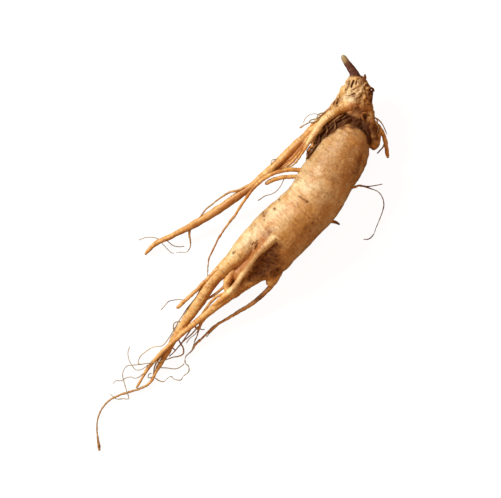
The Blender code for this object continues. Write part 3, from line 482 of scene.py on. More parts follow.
# Grains of the skin: size in millimetres, detail and roughness, then the span that counts and what it becomes
GRAINS = {
    "patches": (7, 4, 0.6, 0.32, 0.7, 0, 1),
    "worn_grain": (13, 3, 0.55, 0.46, 0.62, 0, 1),
    "tan_grain": (6, 4, 0.55, 0.3, 0.6, 0.6, 0.95),
    "russet_grain": (2.8, 4, 0.55, 0.36, 0.6, 0.3, 1.1),
    "mottle_grain": (2.2, 5, 0.7, 0.5, 0.64, 0, 1),
    "fleck_grain": (0.8, 4, 0.65, 0.57, 0.67, 0, 1),
    "spotted": (6, 4, 0.6, 0.45, 0.6, 0, 0.85),
    "speck_grain": (1.3, 5, 0.7, 0.58, 0.66, 0, 1),
    "smudge_grain": (1.8, 5, 0.7, 0.4, 0.62, 0.25, 1.2),
    "orange_grain": (3, 4, 0.55, 0.3, 0.6, 0.8, 1.15),
    "soil_edge": (1.8, 5, 0.7, 0.3, 0.7, -0.3, 0.3),
    "earth_grain": (1, 5, 0.75, 0.3, 0.5, 0.6, 1.3),
    "clot_grain": (1.7, 5, 0.75, 0.38, 0.58, 0.15, 0.95),
    "scar_grain": (0.7, 4, 0.7, 0.35, 0.6, 0.5, 1.5),
    "stem_grain": (1.4, 4, 0.7, 0.4, 0.7, 0, 1),
    "coarse": (1.6, 4, 0.55, 0, 1, 0, 1),
    "fine": (0.45, 3, 0.55, 0, 1, 0, 0.35),
}

# Lines round a root: how fast they change along it and round it, a millimetre, then the span as above
CROSS_LINES = {
    "rings": (0.9, 0.11, 0.52, 0.68, 0, 1),
    "short_lines": (2.6, 0.35, 0.57, 0.66, 0, 1),
    "streaks": (0.25, 1.1, 0.35, 0.65, 0.6, 1.4),
}

# How strong each colour is, worked out from the numbers and grains above and from the rows before it.
# A span maps one range onto another
PARTS = {
    # Painted shade: the taproot's side away from the lamp and the broad blotches make the ring lines, short
    # lines, mottles and flecks stronger there, together with real wear
    "shade_side_wear": ("MULTIPLY", "shade_side", 0.75),
    "worn_shoulder": ("MULTIPLY", "shoulder", 0.55),
    "wear_and_shade_side": ("MAXIMUM", "shade_side_wear", "worn_shoulder"),
    "patch_wear_and_shade": ("MAXIMUM", "worn_grain", "blotch_and_shade"),
    "wear_and_shade": ("MAXIMUM", "wear_and_shade_side", "patch_wear_and_shade"),
    # Painted shade, partly the skin's own tone: the warm tan on the taproot's side away from the lamp
    "shade_side_tint": ("MULTIPLY", "shade_side", "tan_grain"),
    "shoulder_tone": ("MULTIPLY", "shoulder", 0.5),
    "not_pale": ("SPAN", "pale", 0, 1, 1, 0.2),
    "slender": ("SPAN", "girth", 2, 7, 0.85, 0),
    "honey": ("MULTIPLY", "slender", "not_pale"),
    "thin": ("SPAN", "girth", 0.4, 5, 0.85, 0),
    "thin_skin": ("MULTIPLY", "thin", "not_pale"),
    "russet": ("MULTIPLY", "thin_skin", "russet_grain"),
    "hair": ("SPAN", "girth", 0.3, 0.75, 0.85, 0),
    # Pale cream: partly paler skin, partly painted light
    "cream": ("MULTIPLY", "pale", 0.95),
    "ring_strength": ("SPAN", "wear_and_shade", 0, 1, 0.22, 0.5),
    "ring_lines": ("MULTIPLY", "rings", "ring_strength"),
    "line_strength": ("SPAN", "wear_and_shade", 0, 1, 0.15, 0.7),
    "lines": ("MULTIPLY", "short_lines", "line_strength"),
    "mottle_strength": ("SPAN", "wear_and_shade", 0, 1, 0.12, 0.55),
    "mottle": ("MULTIPLY", "mottle_grain", "mottle_strength"),
    "fleck_strength": ("SPAN", "wear_and_shade", 0, 1, 0.35, 0.75),
    "flecks": ("MULTIPLY", "fleck_grain", "fleck_strength"),
    "spotted_shoulder": ("MULTIPLY", "shoulder", 0.8),
    "spotted_skin": ("MAXIMUM", "spotted", "spotted_shoulder"),
    "specks": ("MULTIPLY", "speck_grain", "spotted_skin"),
    # Umber over the blotches: painted shade where they are broad, brown marks where they are small
    "smudge_and_shade": ("MULTIPLY", "blotch_and_shade", "smudge_grain"),
    # Painted shade in orange: where the root shelters its own skin, and along the lines of orange shade; deep
    # takes the stronger of the two
    "shelter_shade": ("SPAN", "shelter", 0.15, 0.6, 0, 0.65),
    "orange_shade_patches": ("MULTIPLY", "orange_shade", "orange_grain"),
    "deep": ("MAXIMUM", "shelter_shade", "orange_shade_patches"),
    "soil_and_shade_ragged": ("ADD", "soil_and_shade", "soil_edge"),
    "soil_and_shade_shape": ("SPAN", "soil_and_shade_ragged", 0.1, 0.85, 0, 1),
    "soil_and_shade_near": ("SPAN", "soil_and_shade", 0, 0.2, 0, 1),
    # Soil, and painted shade in the neck's cleft and creases
    "soil_and_shade_cover": ("MULTIPLY", "soil_and_shade_shape", "soil_and_shade_near"),
    "earth_and_shade": ("MULTIPLY", "soil_and_shade_cover", "earth_grain"),
    "clots_and_shade": ("MULTIPLY", "soil_and_shade_cover", "clot_grain"),
    # Soil clots and the cleft's painted shadow, both in soil brown
    "dark": ("MAXIMUM", "clots_and_shade", "cleft"),
    "scars": ("MULTIPLY", "marks", "scar_grain"),
    "tip_streaks": ("MULTIPLY", "tip", "streaks"),
    "dull_soil_and_shade": ("MAXIMUM", "dark", "earth_and_shade"),
    "dull": ("MAXIMUM", "dull_soil_and_shade", "scars"),
    "roughness": ("SPAN", "dull", 0, 1, 0.48, 0.95),
    "gloss": ("SPAN", "dull", 0, 1, 0.45, 0.1),
    "grooves": ("MULTIPLY", "rings", 0.5),
    "grains": ("ADD", "coarse", "fine"),
    "relief": ("SUBTRACT", "grains", "grooves"),
}

# The colours laid over the cream, in order, each with the part that it takes. The stem comes after them
LAYERS = [
    # The third layer is painted shade: the warm tan of the taproot's side away from the lamp
    ("patches", OCHRE), ("shoulder_tone", SHOULDER_TAN), ("shade_side_tint", SHADE_SIDE_TAN), ("honey", HONEY),
    ("russet", RUSSET), ("hair", HAIR_BROWN), ("cream", PALE_CREAM), ("ring_lines", UMBER),
    ("lines", RUSSET_DARK), ("mottle", UMBER), ("flecks", RUSSET_DARK), ("specks", SCAR_BROWN),
    # Below: the umber smudge is partly painted shade, the orange is painted shade, and the soil brown is soil
    # with painted shadow in the neck's cleft
    ("smudge_and_shade", UMBER), ("deep", SHADE_ORANGE), ("earth_and_shade", EARTH), ("dark", SOIL_AND_SHADE_BROWN), ("scars", SCAR_BROWN),
]

# Marks on the upper side: (along, across) in millimetres, then reach, depth and darkness
SLITS = [
    (((63.2, 13.6), (66.4, 14.2)), 0.75, 1.5, 1), (((63.2, 15.3), (65.4, 15.7)), 0.55, 0.9, 0.9),
    (((60.4, 14.9), (62.8, 15)), 0.6, 0.8, 0.6), (((65.4, 12.2), (67.2, 12.7)), 0.55, 0.9, 0.8),
    (((58.8, 11.8), (61.2, 10.4)), 0.6, 0.6, 0.4), (((62.4, 12.2), (63.6, 11.2)), 0.5, 0.6, 0.5),
    (((-27.6, 11.9), (-30.6, 11.3)), 0.7, 0.6, 0.95), (((-26.4, 12.6), (-28.4, 12.8)), 0.45, 0.5, 0.8),
    (((52.2, 15), (54.8, 16)), 0.55, 1, 1), (((51.4, 16.4), (53.6, 17)), 0.5, 0.8, 0.9),
    (((37, -8.8), (30, -11.2)), 1.5, 0.5, 0.45), (((55.6, 15.2), (56.8, 16.6)), 0.45, 0.6, 0.8),
    (((3.2, 6.8), (2.9, 1.8)), 0.55, 0.3, 0.7), (((-13, 17.6), (-14.6, 16)), 0.6, 0.2, 0.7),
    (((-2.4, -0.2), (-3.4, -4)), 0.4, 0.15, 0.4), (((-28, 13.6), (-29.6, 13.6)), 0.45, 0.4, 0.8),
]
PITS = [
    ((-37.9, 19.4), 1.5, 0.3, 0.8), ((-8.6, 13.8), 1.3, 0.35, 1), ((-3.4, 14.2), 1.1, 0.3, 0.85),
    ((2.9, 1.8), 1.2, 0.35, 1), ((-4.6, -6.3), 1.3, 0.2, 0.7), ((-15.8, 15.2), 1, 0.2, 0.6),
    ((51.6, 14.4), 0.9, 0.6, 0.8), ((54.3, -0.4), 1.3, 0.8, 0.9), ((66.4, 7), 1.5, 0.6, 0.7),
    ((67.6, 9.6), 1.3, 0.5, 0.7), ((64.4, 3.8), 1.4, 0.5, 0.8), ((62.5, 1.6), 1.3, 0.4, 0.7),
    ((57, -4.2), 1.3, 0.4, 0.7),
]
STEM_SCARS = [((62, 6.9), 2.3, 0.35), ((60, 10.2), 2, 0.25), ((64, 16), 1.8, 0.2)]
# Soil spots, as (along, across), reach and strength; those along the neck's cleft are painted shade as much
# as soil
SOIL_AND_SHADE_SPOTS = [
    ((70, 10.4), 2.6, 0.9), ((66, 3.6), 2.6, 0.8), ((63.5, 2), 2.6, 0.7), ((68.2, 7.2), 2, 0.7),
    ((53.4, 15.6), 2.4, 0.45), ((54.6, 4.4), 4.6, 0.6), ((54.6, 0.6), 3.6, 0.7), ((-24, 3.4), 4, 1),
    ((-29.2, 3), 7, 1.3), ((-34, 3), 8, 1.4), ((-38.6, 3.6), 7, 1.3), ((-42.4, 4.8), 5, 1.2),
    ((-34.5, -2), 7, 0.8), ((-30, -1.5), 5, 0.6), ((-45, 5.6), 3, 0.9), ((50.5, -3), 5.5, 1),
    ((48, 2.5), 4.5, 0.95), ((51.5, -7), 4.5, 1), ((49.5, 6.5), 4, 0.9), ((45, 9.5), 3.5, 0.85),
    ((40, 12.4), 3, 0.8), ((34, 13.8), 3, 0.7), ((44.5, 7.4), 3.6, 1), ((40, 10), 3.2, 1),
    ((36, 12), 2.8, 0.95), ((31.5, 13), 2.6, 0.9), ((27, 13.8), 2.2, 0.8), ((24, 14.4), 2.6, 1),
    ((48.6, -5.4), 3.4, 1), ((46, -8.4), 2.6, 0.9), ((53.6, -0.6), 3, 0.7), ((48.4, -10.2), 3, 1.2),
    ((50.2, -8.6), 3, 1.2), ((71.4, 10.6), 2.6, 1.6), ((68.4, 4.4), 3, 1.5), ((55.6, 7), 3, 0.35),
    ((25, -20.4), 8, 0.7), ((22, -31), 9, 0.6), ((8, -34), 9, 0.9), ((2, -17.4), 4, 1.1),
    ((-156, 25), 7, 0.5), ((-75, 33), 4.5, 0.9), ((-80, 31), 5, 0.9), ((-50.2, -2.4), 4.5, 0.8),
    ((44, -15.5), 3, 0.6),
]
# Pale spots, as (along, across), reach and strength: two on the top of the neck, and one at (-99, 29.5) that
# is painted light on hairs lying in shade
PALE_AND_LIT_SPOTS = [((63, 13), 7, 0.45), ((66.5, 12), 4.5, 0.3), ((-99, 29.5), 10, 0.7)]
# Brown blotches, as (along, across), reach and strength. The broad ones, of reach 8 and more, darken the
# taproot's lower half and are painted shade; the smaller ones are brown dents and marks
BLOTCHES_AND_SHADE = [
    ((34, -9.8), 4.5, 1), ((28.6, -10.8), 4.5, 0.9), ((20.7, -4.8), 8, 0.4), ((-14, 2), 8, 0.25),
    ((-4, 0), 8, 0.25), ((-62, 1.6), 4, 0.9), ((-48, -4), 4, 1), ((29, -5), 9, 0.4),
    ((-4.6, -6.9), 4.5, 0.45), ((15.1, 8.8), 4, 0.35), ((-13.4, 16.7), 3.5, 0.8), ((-19.6, 9.8), 4.2, 1),
    ((-22.6, 9.8), 3.6, 0.9), ((-22.6, 3.2), 3.4, 1), ((10, -6), 9, 0.3), ((30, 5), 6, 0.3),
    ((-30, 14), 4.5, 0.3), ((-36, 12), 4, 0.5), ((57, 4), 4.5, 0.45), ((59, 9), 5, 0.8),
    ((-48.5, 7), 4, 0.7), ((-53, 6.6), 3.5, 0.6), ((64, 5), 3.4, 0.6), ((60, 0), 4.5, 0.7),
    ((47, -11), 5, 0.8), ((-12, -4), 10, 0.2), ((-2, -6), 9, 0.4), ((8, -5), 10, 0.4), ((-20, -2), 9, 0.15),
    ((-28, 11.5), 4.5, 0.5), ((-34, 12), 4.5, 0.4), ((-40, 11.8), 4, 0.3), ((56, 6), 5, 0.8),
    ((58, 2), 5, 0.7), ((64, 2.6), 4, 1), ((67, 4.4), 3.6, 1), ((52, 15.8), 3.6, 0.9), ((48.6, 17), 3, 0.9),
    ((45.6, 18.4), 3, 0.8), ((55.6, 15.4), 3, 0.7), ((26, 1), 12, 0.3), ((34, -2), 14, 0.4),
    ((40, -6), 8, 0.35), ((26, -10), 7, 0.4), ((69, 12), 3, 0.6), ((-24, 10.4), 2.4, 0.8),
    ((-21.4, 12), 2, 0.6), ((-46, -4.6), 5, 1), ((-52, -2.9), 5, 1), ((-57, -0.8), 4, 0.8),
    ((44, -12), 5, 0.9), ((50, -7), 4, 1),
]
# Painted shadow of the side root's arm, with soil, along the cleft between neck and taproot: ((start),
# (end)), reach and strength
CLEFT_SHADOW_AND_SOIL = [
    (((50.4, 5.5), (50.4, -1.5)), 2.8, 1), (((48.5, 2), (49.4, -4.5)), 2.4, 1),
    (((53, 5.4), (46, 9)), 3.6, 1), (((46, 9), (38, 12.2)), 3.6, 1), (((38, 12.2), (31, 14)), 2.6, 1),
    (((31, 12.6), (22, 13)), 1.2, 1), (((52.6, 0.4), (48.6, -5.6)), 2.6, 1),
    (((48.6, -5.6), (44.6, -8.8)), 2, 1),
]
# Painted shade: orange along lower edges, under strands and between roots, as ((start), (end)), reach and
# strength
ORANGE_SHADE_LINES = [
    (((26, 19.6), (9, 23)), 3, 1.2), (((-5, 27.8), (-14, 32)), 2.2, 1),
    (((-44, 13.6), (-51, 12.6)), 4.2, 1), (((-52, 18.3), (-63, 19)), 1.8, 0.8),
    (((-63, 19), (-77, 18.4)), 1.8, 0.8), (((-25, 10.4), (-43, 12.2)), 3.6, 1),
    (((52, 9), (57, 1)), 4.2, 0.8), (((48, -10), (54, -4)), 3.6, 0.5), (((24, 15), (33, 16)), 1.6, 0.2),
    (((-46, -4.2), (-60, 0.8)), 2, 0.7), (((-86, 17), (-104, 19)), 2.4, 0.2),
    (((-20, 33), (-40, 43.4)), 1.4, 0.5), (((-21, 33.2), (-48, 28.4)), 2.6, 0.8),
    (((-24, 36.4), (-58, 54.4)), 2.6, 0.5), (((54, 1), (50, 5)), 3, 0.9),
    (((-8, 30.6), (-22, 36.4)), 2.2, 0.9), (((55.4, 8.6), (56, 5)), 2.6, 1),
]
STEM_LINE = ((69.6, 15.0, 15.8), (72.0, 20.6, 17.2))
TIP_LINE = ((73.4, 24.0, 18.0), (74.6, 25.8, 18.3))


def smooth_line(stations, pitch):
    """Points on a Catmull-Rom curve through the stations, about a pitch apart, as rows of x, y, z, radius."""
    rows = np.array(stations, float)
    rows = np.vstack([2 * rows[0] - rows[1], rows, 2 * rows[-1] - rows[-2]])
    points = []
    for before, start, end, after in zip(rows, rows[1:], rows[2:], rows[3:]):
        steps = max(1, round(float(np.linalg.norm((end - start)[:3])) / pitch))
        for t in np.arange(steps) / steps:
            point = (
                2 * start + (end - before) * t
                + (2 * before - 5 * start + 4 * end - after) * t**2
                + (3 * start - before - 3 * end + after) * t**3
            ) / 2
            points.append(point)
    points.append(rows[-2])
    points = np.array(points)
    points[:, 3] = np.maximum(points[:, 3], 0.07)
    return points


def across(points):
    """Two directions across the line at each point, which turn as little as they can along it."""
    along = np.gradient(points[:, :3], axis=0)
    along /= np.linalg.norm(along, axis=1)[:, None]
    side = np.cross(along[0], (0.0, 0.0, 1.0))
    if np.linalg.norm(side) < 0.1:
        side = np.cross(along[0], (0.0, 1.0, 0.0))
    sides = []
    for direction in along:
        side = side - direction * np.dot(side, direction)
        side = side / np.linalg.norm(side)
        sides.append(side)
    sides = np.array(sides)
    return sides, np.cross(along, sides)


def lumps(place, grain):
    return noise.noise(Vector(place) / grain)


def skin_tube(stations, sides, pitch, swell=0.0, grain=4.0, rings=0.0, ring_pitch=1.2, wander=0.0):
    """Vertices, faces, distance along and girth of one closed root.

    swell is how far the skin rises and sinks over patches of a grain, rings how deep its ring wrinkles are,
    and wander how far the root itself strays from its line.
    """
    points = smooth_line(stations, pitch)
    if wander:
        for point in points[2:-1]:
            stray = np.array(noise.noise_vector(Vector(point[:3]) / 3.1))
            point[:3] += stray * wander * min(1, point[3] / 0.3)
    first, second = across(points)
    steps = np.linalg.norm(np.diff(points[:, :3], axis=0), axis=1)
    travel = np.concatenate([[0], np.cumsum(steps)])
    angles = np.arange(sides) * 2 * math.pi / sides
    vertices, distance, girth = [], [], []
    for point, one, two, far in zip(points, first, second, travel):
        radius = point[3]
        for angle in angles:
            outward = one * math.cos(angle) + two * math.sin(angle)
            place = point[:3] + outward * radius
            rise = 0.0
            if swell:
                rise += swell * lumps(place, grain) + 0.4 * swell * lumps(place + 50, grain * 0.4)
            if rings:
                bend = 1.4 * lumps((far * 0.12, *(outward * 1.1)[:2]), 1.0)
                wave = math.sin(2 * math.pi * (far / ring_pitch + bend * 2.2))
                patch = 0.5 + lumps(place + 90, 5.0)
                rise -= rings * max(0.0, wave) ** 2 * max(0.0, patch)
            vertices.append(place + outward * max(rise, -0.5 * radius))
            distance.append(far)
            girth.append(radius)
    count = len(points)
    faces = []
    for ring in range(count - 1):
        for side in range(sides):
            after = (side + 1) % sides
            here, there = ring * sides, (ring + 1) * sides
            faces.append((here + side, here + after, there + after, there + side))
    vertices.append(points[0, :3])
    vertices.append(points[-1, :3])
    distance += [0.0, float(travel[-1])]
    girth += [points[0, 3], points[-1, 3]]
    low, high, last = count * sides, count * sides + 1, (count - 1) * sides
    for side in range(sides):
        after = (side + 1) % sides
        faces.append((low, after, side))
        faces.append((high, last + side, last + after))
    return np.array(vertices), faces, np.array(distance), np.array(girth)


def join_tubes(name, tubes):
    """One mesh of several closed tubes, with the distance along each kept on its vertices."""
    vertices, faces, distance, start = [], [], [], 0
    for number, (points, quads, far, _) in enumerate(tubes):
        vertices.append(points * MM)
        faces += [tuple(index + start for index in face) for face in quads]
        distance.append(far + NEXT_ROOT * number)
        start += len(points)
    mesh = bpy.data.meshes.new(name)
    mesh.from_pydata(np.concatenate(vertices).tolist(), [], faces)
    shape = bmesh.new()
    shape.from_mesh(mesh)
    bmesh.ops.recalc_face_normals(shape, faces=shape.faces)
    shape.to_mesh(mesh)
    shape.free()
    keep(mesh, "along", np.concatenate(distance))
    obj = bpy.data.objects.new(name, mesh)
    bpy.context.scene.collection.objects.link(obj)
    mesh.shade_smooth()
    return obj


def keep(mesh, name, values):
    """Stores one number per vertex, for the material to read."""
    layer = mesh.attributes.new(name, "FLOAT", "POINT")
    layer.data.foreach_set("value", np.asarray(values, np.float32))


def places_of(mesh):
    places = np.empty(len(mesh.vertices) * 3, np.float32)
    mesh.vertices.foreach_get("co", places)
    return places.reshape(-1, 3) / MM


def normals_of(mesh):
    directions = np.empty(len(mesh.vertices) * 3, np.float32)
    mesh.vertex_normals.foreach_get("vector", directions)
    return directions.reshape(-1, 3)


def ramp(values, start, end):
    """Rises evenly from 0 at the start to 1 at the end, and stays there."""
    return np.clip((values - start) / (end - start), 0, 1)


def eased(part):
    """The same number between 0 and 1, with soft ends."""
    part = np.clip(part, 0, 1)
    return part * part * (3 - 2 * part)


def near(places, spot, reach):
    """How close each place is to the spot: 1 on it, 0 from the reach outwards, smooth between."""
    places = places[:, :len(spot)]
    return eased(1 - np.linalg.norm((places - np.array(spot)) / reach, axis=1))


def near_line(places, ends, reach):
    """The same, for a short straight line between two spots."""
    start, end = np.array(ends[0], float), np.array(ends[1], float)
    places = places[:, :len(start)]
    run = end - start
    t = np.clip(((places - start) @ run) / (run @ run), 0, 1)
    return eased(1 - np.linalg.norm(places - start - t[:, None] * run, axis=1) / reach)


def strongest(places, marks, closeness=near):
    """The strongest of several marks at each place."""
    most = np.zeros(len(places))
    for where, reach, strength in marks:
        most = np.maximum(most, closeness(places, where, reach) * strength)
    return most


def gap_to_root(places, stations):
    """How far each place is from the skin of a root."""
    middle = smooth_line(stations, 0.8)
    gaps = [np.linalg.norm(places - point[:3], axis=1) - point[3] for point in middle]
    return np.min(gaps, axis=0)


def flatten(points):
    """Towards the fork the taproot is wider than it is high, as in the solid."""
    points[:, 2] *= 1 - FORK_SQUASH * eased((FORK_START - points[:, 0]) / FORK_LENGTH)
    return points


def taproot_skin():
    """The taproot, with the rings and folds round its shoulder."""
    points, faces, far, girth = skin_tube(TAPROOT, TAPROOT_SIDES, TAPROOT_PITCH)
    points = flatten(points)
    middle = np.stack([points[:, 0], np.full(len(points), -0.4), np.full(len(points), LIE)], 1)
    outward = points - middle
    outward /= np.maximum(np.linalg.norm(outward, axis=1)[:, None], 1e-6)
    shoulder = ramp(points[:, 0], 6, 32) * ramp(points[:, 0], 47.6, 43.6)
    for index, (place, out, ringed) in enumerate(zip(points.copy(), outward, shoulder)):
        rise = 0.6 * lumps(place, 11.0) + 0.26 * lumps(place + 20, 4.2) + 0.07 * lumps(place + 60, 1.7)
        bend = 1.1 * lumps(place, 13.0) + 0.45 * lumps(place + 30, 4.0)
        rise += 0.11 * ringed * math.sin(2 * math.pi * (place[0] / FOLD_PITCH + bend))
        crease = math.sin(2 * math.pi * (place[0] / CREASE_PITCH + 1.7 * bend))
        patch = max(0.0, 0.35 + lumps(place + 70, 6.0) + 0.25 * ringed)
        rise -= 0.2 * patch * max(0.0, crease) ** 4
        points[index] += out * rise
    points[:, 2] = np.maximum(points[:, 2], 0.0)
    return points, faces, far, girth


def knob_skin(station):
    """A bud or old stem scar on the neck: a rounded swelling with a slightly sunken, rough face."""
    *place, radius = station
    stations = [
        (place[0], place[1], place[2] - radius * math.cos(turn), max(0.3, radius * math.sin(turn)))
        for turn in np.linspace(0.15, math.pi - 0.15, 14)
    ]
    return skin_tube(stations, 40, 0.4, swell=0.35, grain=1.8)


def true_radius(stations):
    """The solid's rootlets are at least 0.3 mm in radius. Here the fine ones get thinner again."""
    thin = []
    for x, y, z, radius in stations:
        part = min(1.0, max(0.0, (radius - 0.3) / 0.35))
        thin.append((x, y, z, radius * (0.72 + 0.28 * part)))
    return thin


def voxel_skin(obj):
    """Fuses the tubes of an object into one skin."""
    fuse = obj.modifiers.new("fuse", "REMESH")
    fuse.mode = "VOXEL"
    fuse.voxel_size = VOXEL * MM
    fuse.use_smooth_shade = True
    apply_modifiers(obj)


def thin_out(obj, most):
    """Fewer, larger triangles where the skin is flat, to stay under the most allowed."""
    obj.data.calc_loop_triangles()
    count = len(obj.data.loop_triangles)
    if count > most:
        fewer = obj.modifiers.new("fewer", "DECIMATE")
        fewer.ratio = most / count
        apply_modifiers(obj)


def apply_modifiers(obj):
    graph = bpy.context.evaluated_depsgraph_get()
    mesh = bpy.data.meshes.new_from_object(obj.evaluated_get(graph))
    obj.modifiers.clear()
    obj.data = mesh


def carry_over(source_points, values, mesh, names):
    """Copies numbers from the fine tubes' points to the nearest points of the fused skin."""
    tree = KDTree(len(source_points))
    for index, place in enumerate(source_points):
        tree.insert(place, index)
    tree.balance()
    nearest = [tree.find(place)[1] for place in places_of(mesh)]
    for name, value in zip(names, values):
        keep(mesh, name, value[nearest])


def shelter_of(mesh, tree, rays, reach):
    """How much of the air round each point the root itself takes up: 0 in the open, towards 1 in a cleft."""
    turn = math.pi * (3 - math.sqrt(5))
    dome = []
    for number in range(rays):
        height = 1 - (number + 0.5) / rays * 0.9
        ring = math.sqrt(1 - height * height)
        dome.append((ring * math.cos(turn * number), ring * math.sin(turn * number), height))
    hidden = np.zeros(len(mesh.vertices), np.float32)
    for index, (place, outward) in enumerate(zip(places_of(mesh), normals_of(mesh))):
        up = Vector(outward)
        if up.length < 0.5:
            continue
        side = up.orthogonal().normalized()
        other = up.cross(side)
        start = Vector(place) + up * 0.15
        hits = 0.0
        for x, y, z in dome:
            gap = tree.ray_cast(start, side * x + other * y + up * z, reach)[3]
            if gap is not None:
                hits += 1 - gap / reach * 0.5
        hidden[index] = hits / rays
    return hidden


def bark(places):
    """The neck's scaly bark: how far each point is pushed out, and how dark the cracks between scales are."""
    x = places[:, 0]
    part = ramp(x, 49, 53) * ramp(x, 70.5, 68.5) * (1 - near_line(places, SIDE_ROOT_ARM, 3.4))
    part *= 0.3 + 0.7 * ramp(x, 57, 60.5)
    push, dark = np.zeros(len(places)), np.zeros(len(places))
    for index in np.nonzero(part > 0.02)[0]:
        place = Vector(places[index])
        bent = place + 1.8 * noise.noise_vector(place / 3.2)
        first, second = noise.voronoi(Vector((bent.x / 5.2, bent.y / 2.8, bent.z / 2.8)))[0][:2]
        seam = max(0.0, 1 - (second - first) / 0.2) * min(1.0, max(0.0, 0.5 + 2.2 * noise.noise(place / 3.7)))
        push[index] = part[index] * (0.7 * (0.5 - first) - 0.45 * seam + 0.22 * noise.noise(place / 1.1))
        dark[index] = part[index] * seam
    return push, dark


def carve(mesh, deep=True):
    """How dark the scars, slits, pits and stem scars are at each point. If deep, they are also pushed in."""
    places, outward = places_of(mesh), normals_of(mesh)
    push, dark = bark(places)
    dark *= 0.55
    upper = np.clip(outward[:, 2] * 3, 0, 1)
    for ends, reach, depth, shade in SLITS:
        part = near_line(places, ends, reach) * upper
        push -= part * depth
        dark = np.maximum(dark, part * shade)
    for spot, reach, depth, shade in PITS:
        part = near(places, spot, reach) * upper
        push -= part * depth
        dark = np.maximum(dark, part * shade)
    for spot, reach, height in STEM_SCARS:
        gap = np.linalg.norm(places[:, :2] - np.array(spot), axis=1) / reach
        rim = np.clip(1 - np.abs(gap - 0.8) / 0.3, 0, 1) * upper
        bowl = np.clip(1 - gap / 0.7, 0, 1) * upper
        push += height * rim - 1.2 * height * bowl
        dark = np.maximum(dark, 0.6 * bowl)
    if not deep:
        return dark
    places += outward * push[:, None]
    mesh.vertices.foreach_set("co", (places * MM).astype(np.float32).ravel())
    mesh.update()
    return dark


def linear(code):
    """An sRGB hex colour as the linear numbers that a shader takes."""
    channels = [int(code[index:index + 2], 16) / 255 for index in (1, 3, 5)]
    return (*[c / 12.92 if c <= 0.04045 else ((c + 0.055) / 1.055) ** 2.4 for c in channels], 1.0)


def soil_and_shade_on(places, upward, shelter):
    """Where soil is left: at the fork, behind the neck and in its creases, and not on the front lateral. In
    the neck's creases and cleft it is also painted shade, darker where the root shelters its own skin.
    """
    # Painted shade as much as soil: the neck's creases darken by how much of the air round them the root
    # takes up
    crease_shade = np.clip((shelter - 0.38) * 2.2, 0, 1) * ramp(places[:, 0], 36, 42)
    soil_and_shade = np.maximum(crease_shade, strongest(places, SOIL_AND_SHADE_SPOTS) * np.clip(upward * 3 + 0.9, 0, 1))
    return soil_and_shade * ramp(gap_to_root(places, FRONT_LATERAL), 0.3, 0.8)


def pale_and_lit_on(places):
    """Where the skin is a pale cream: the top of the neck, the front lateral and the arm of the side root. It
    is partly paler skin and partly painted light, where the lamp leaves the front lateral and the arm darker,
    and on hairs beside the end of the upper leg that lie in shade.
    """
    lateral = ramp(gap_to_root(places, FRONT_LATERAL[:9]), 0.7, 0.2)
    strand = 0.6 * ramp(gap_to_root(places, ROOTLETS["front_strand"][:5]), 0.7, 0.2)
    return np.maximum(strongest(places, PALE_AND_LIT_SPOTS), np.maximum(lateral, strand))


def node(tree, kind, inputs=(), output=0, **settings):
    """Adds a node and gives one of its outputs.

    The inputs are in their own order, or in a dictionary by name or number. Each is a number, a colour or
    another node's output.
    """
    new = tree.nodes.new("ShaderNode" + kind)
    for name, value in settings.items():
        setattr(new, name, value)
    for name, value in inputs.items() if isinstance(inputs, dict) else enumerate(inputs):
        if isinstance(value, bpy.types.NodeSocket):
            tree.links.new(value, new.inputs[name])
        else:
            new.inputs[name].default_value = value
    return new.outputs[output]


def root_cork():
    """Thin cork skin of a fresh root, dug and rinsed, with earth left in its hollows, and painted shade there
    too.

    It is dull and slightly waxy, cream to ochre, browner on thin roots, and has flecks and ring lines.
    Painted shade makes its side away from the lamp, its lower edges, its hollows and the gaps between roots
    darker and more orange, and painted light makes the front lateral and a few spots paler.
    """
    material = bpy.data.materials.new("root_cork")
    material.use_nodes = True
    tree = material.node_tree
    shader = tree.nodes["Principled BSDF"]
    place = node(tree, "TexCoord", output="Object")
    part = {name: node(tree, "Attribute", output="Fac", attribute_name=name) for name in KEPT}
    for name, (size, detail, rough, *span) in GRAINS.items():
        grain = {"Vector": place, "Scale": 1 / MM / size, "Detail": detail, "Roughness": rough}
        part[name] = node(tree, "MapRange", (node(tree, "TexNoise", grain), *span))
    beside = [node(tree, "SeparateXYZ", (place,), output=axis) for axis in "YZ"]
    round_root = node(tree, "CombineXYZ", (part["along"], *beside))
    for name, (often, slow, *span) in CROSS_LINES.items():
        drawn = node(tree, "VectorMath", (round_root, (often, slow / MM, slow / MM)), operation="MULTIPLY")
        grain = {"Vector": drawn, "Scale": 1.0, "Detail": 4.0, "Roughness": 0.6}
        part[name] = node(tree, "MapRange", (node(tree, "TexNoise", grain), *span))
    for name, (way, *values) in PARTS.items():
        values = [part.get(value, value) for value in values]
        if way == "SPAN":
            part[name] = node(tree, "MapRange", values)
        else:
            part[name] = node(tree, "Math", values, operation=way, use_clamp=way == "MULTIPLY")

    def laid_over(colour, layers):
        """The colour under others, each as strong as its part."""
        for name, tint in layers:
            layer = {"Factor": part[name], 6: colour, 7: linear(tint) if isinstance(tint, str) else tint}
            colour = node(tree, "Mix", layer, output=2, data_type="RGBA")
        return colour

    stem_skin = laid_over(linear(STEM_PURPLE), [("stem_grain", STEM_RED)])
    colour = laid_over(linear(CREAM), [*LAYERS, ("stem", stem_skin), ("tip_streaks", STEM_TIP)])
    tree.links.new(colour, shader.inputs["Base Color"])
    tree.links.new(part["roughness"], shader.inputs["Roughness"])
    tree.links.new(part["gloss"], shader.inputs["Specular IOR Level"])
    relief = {"Height": part["relief"], "Strength": 0.7, "Distance": RELIEF_DEPTH * MM}
    tree.links.new(node(tree, "Bump", relief), shader.inputs["Normal"])
    return material


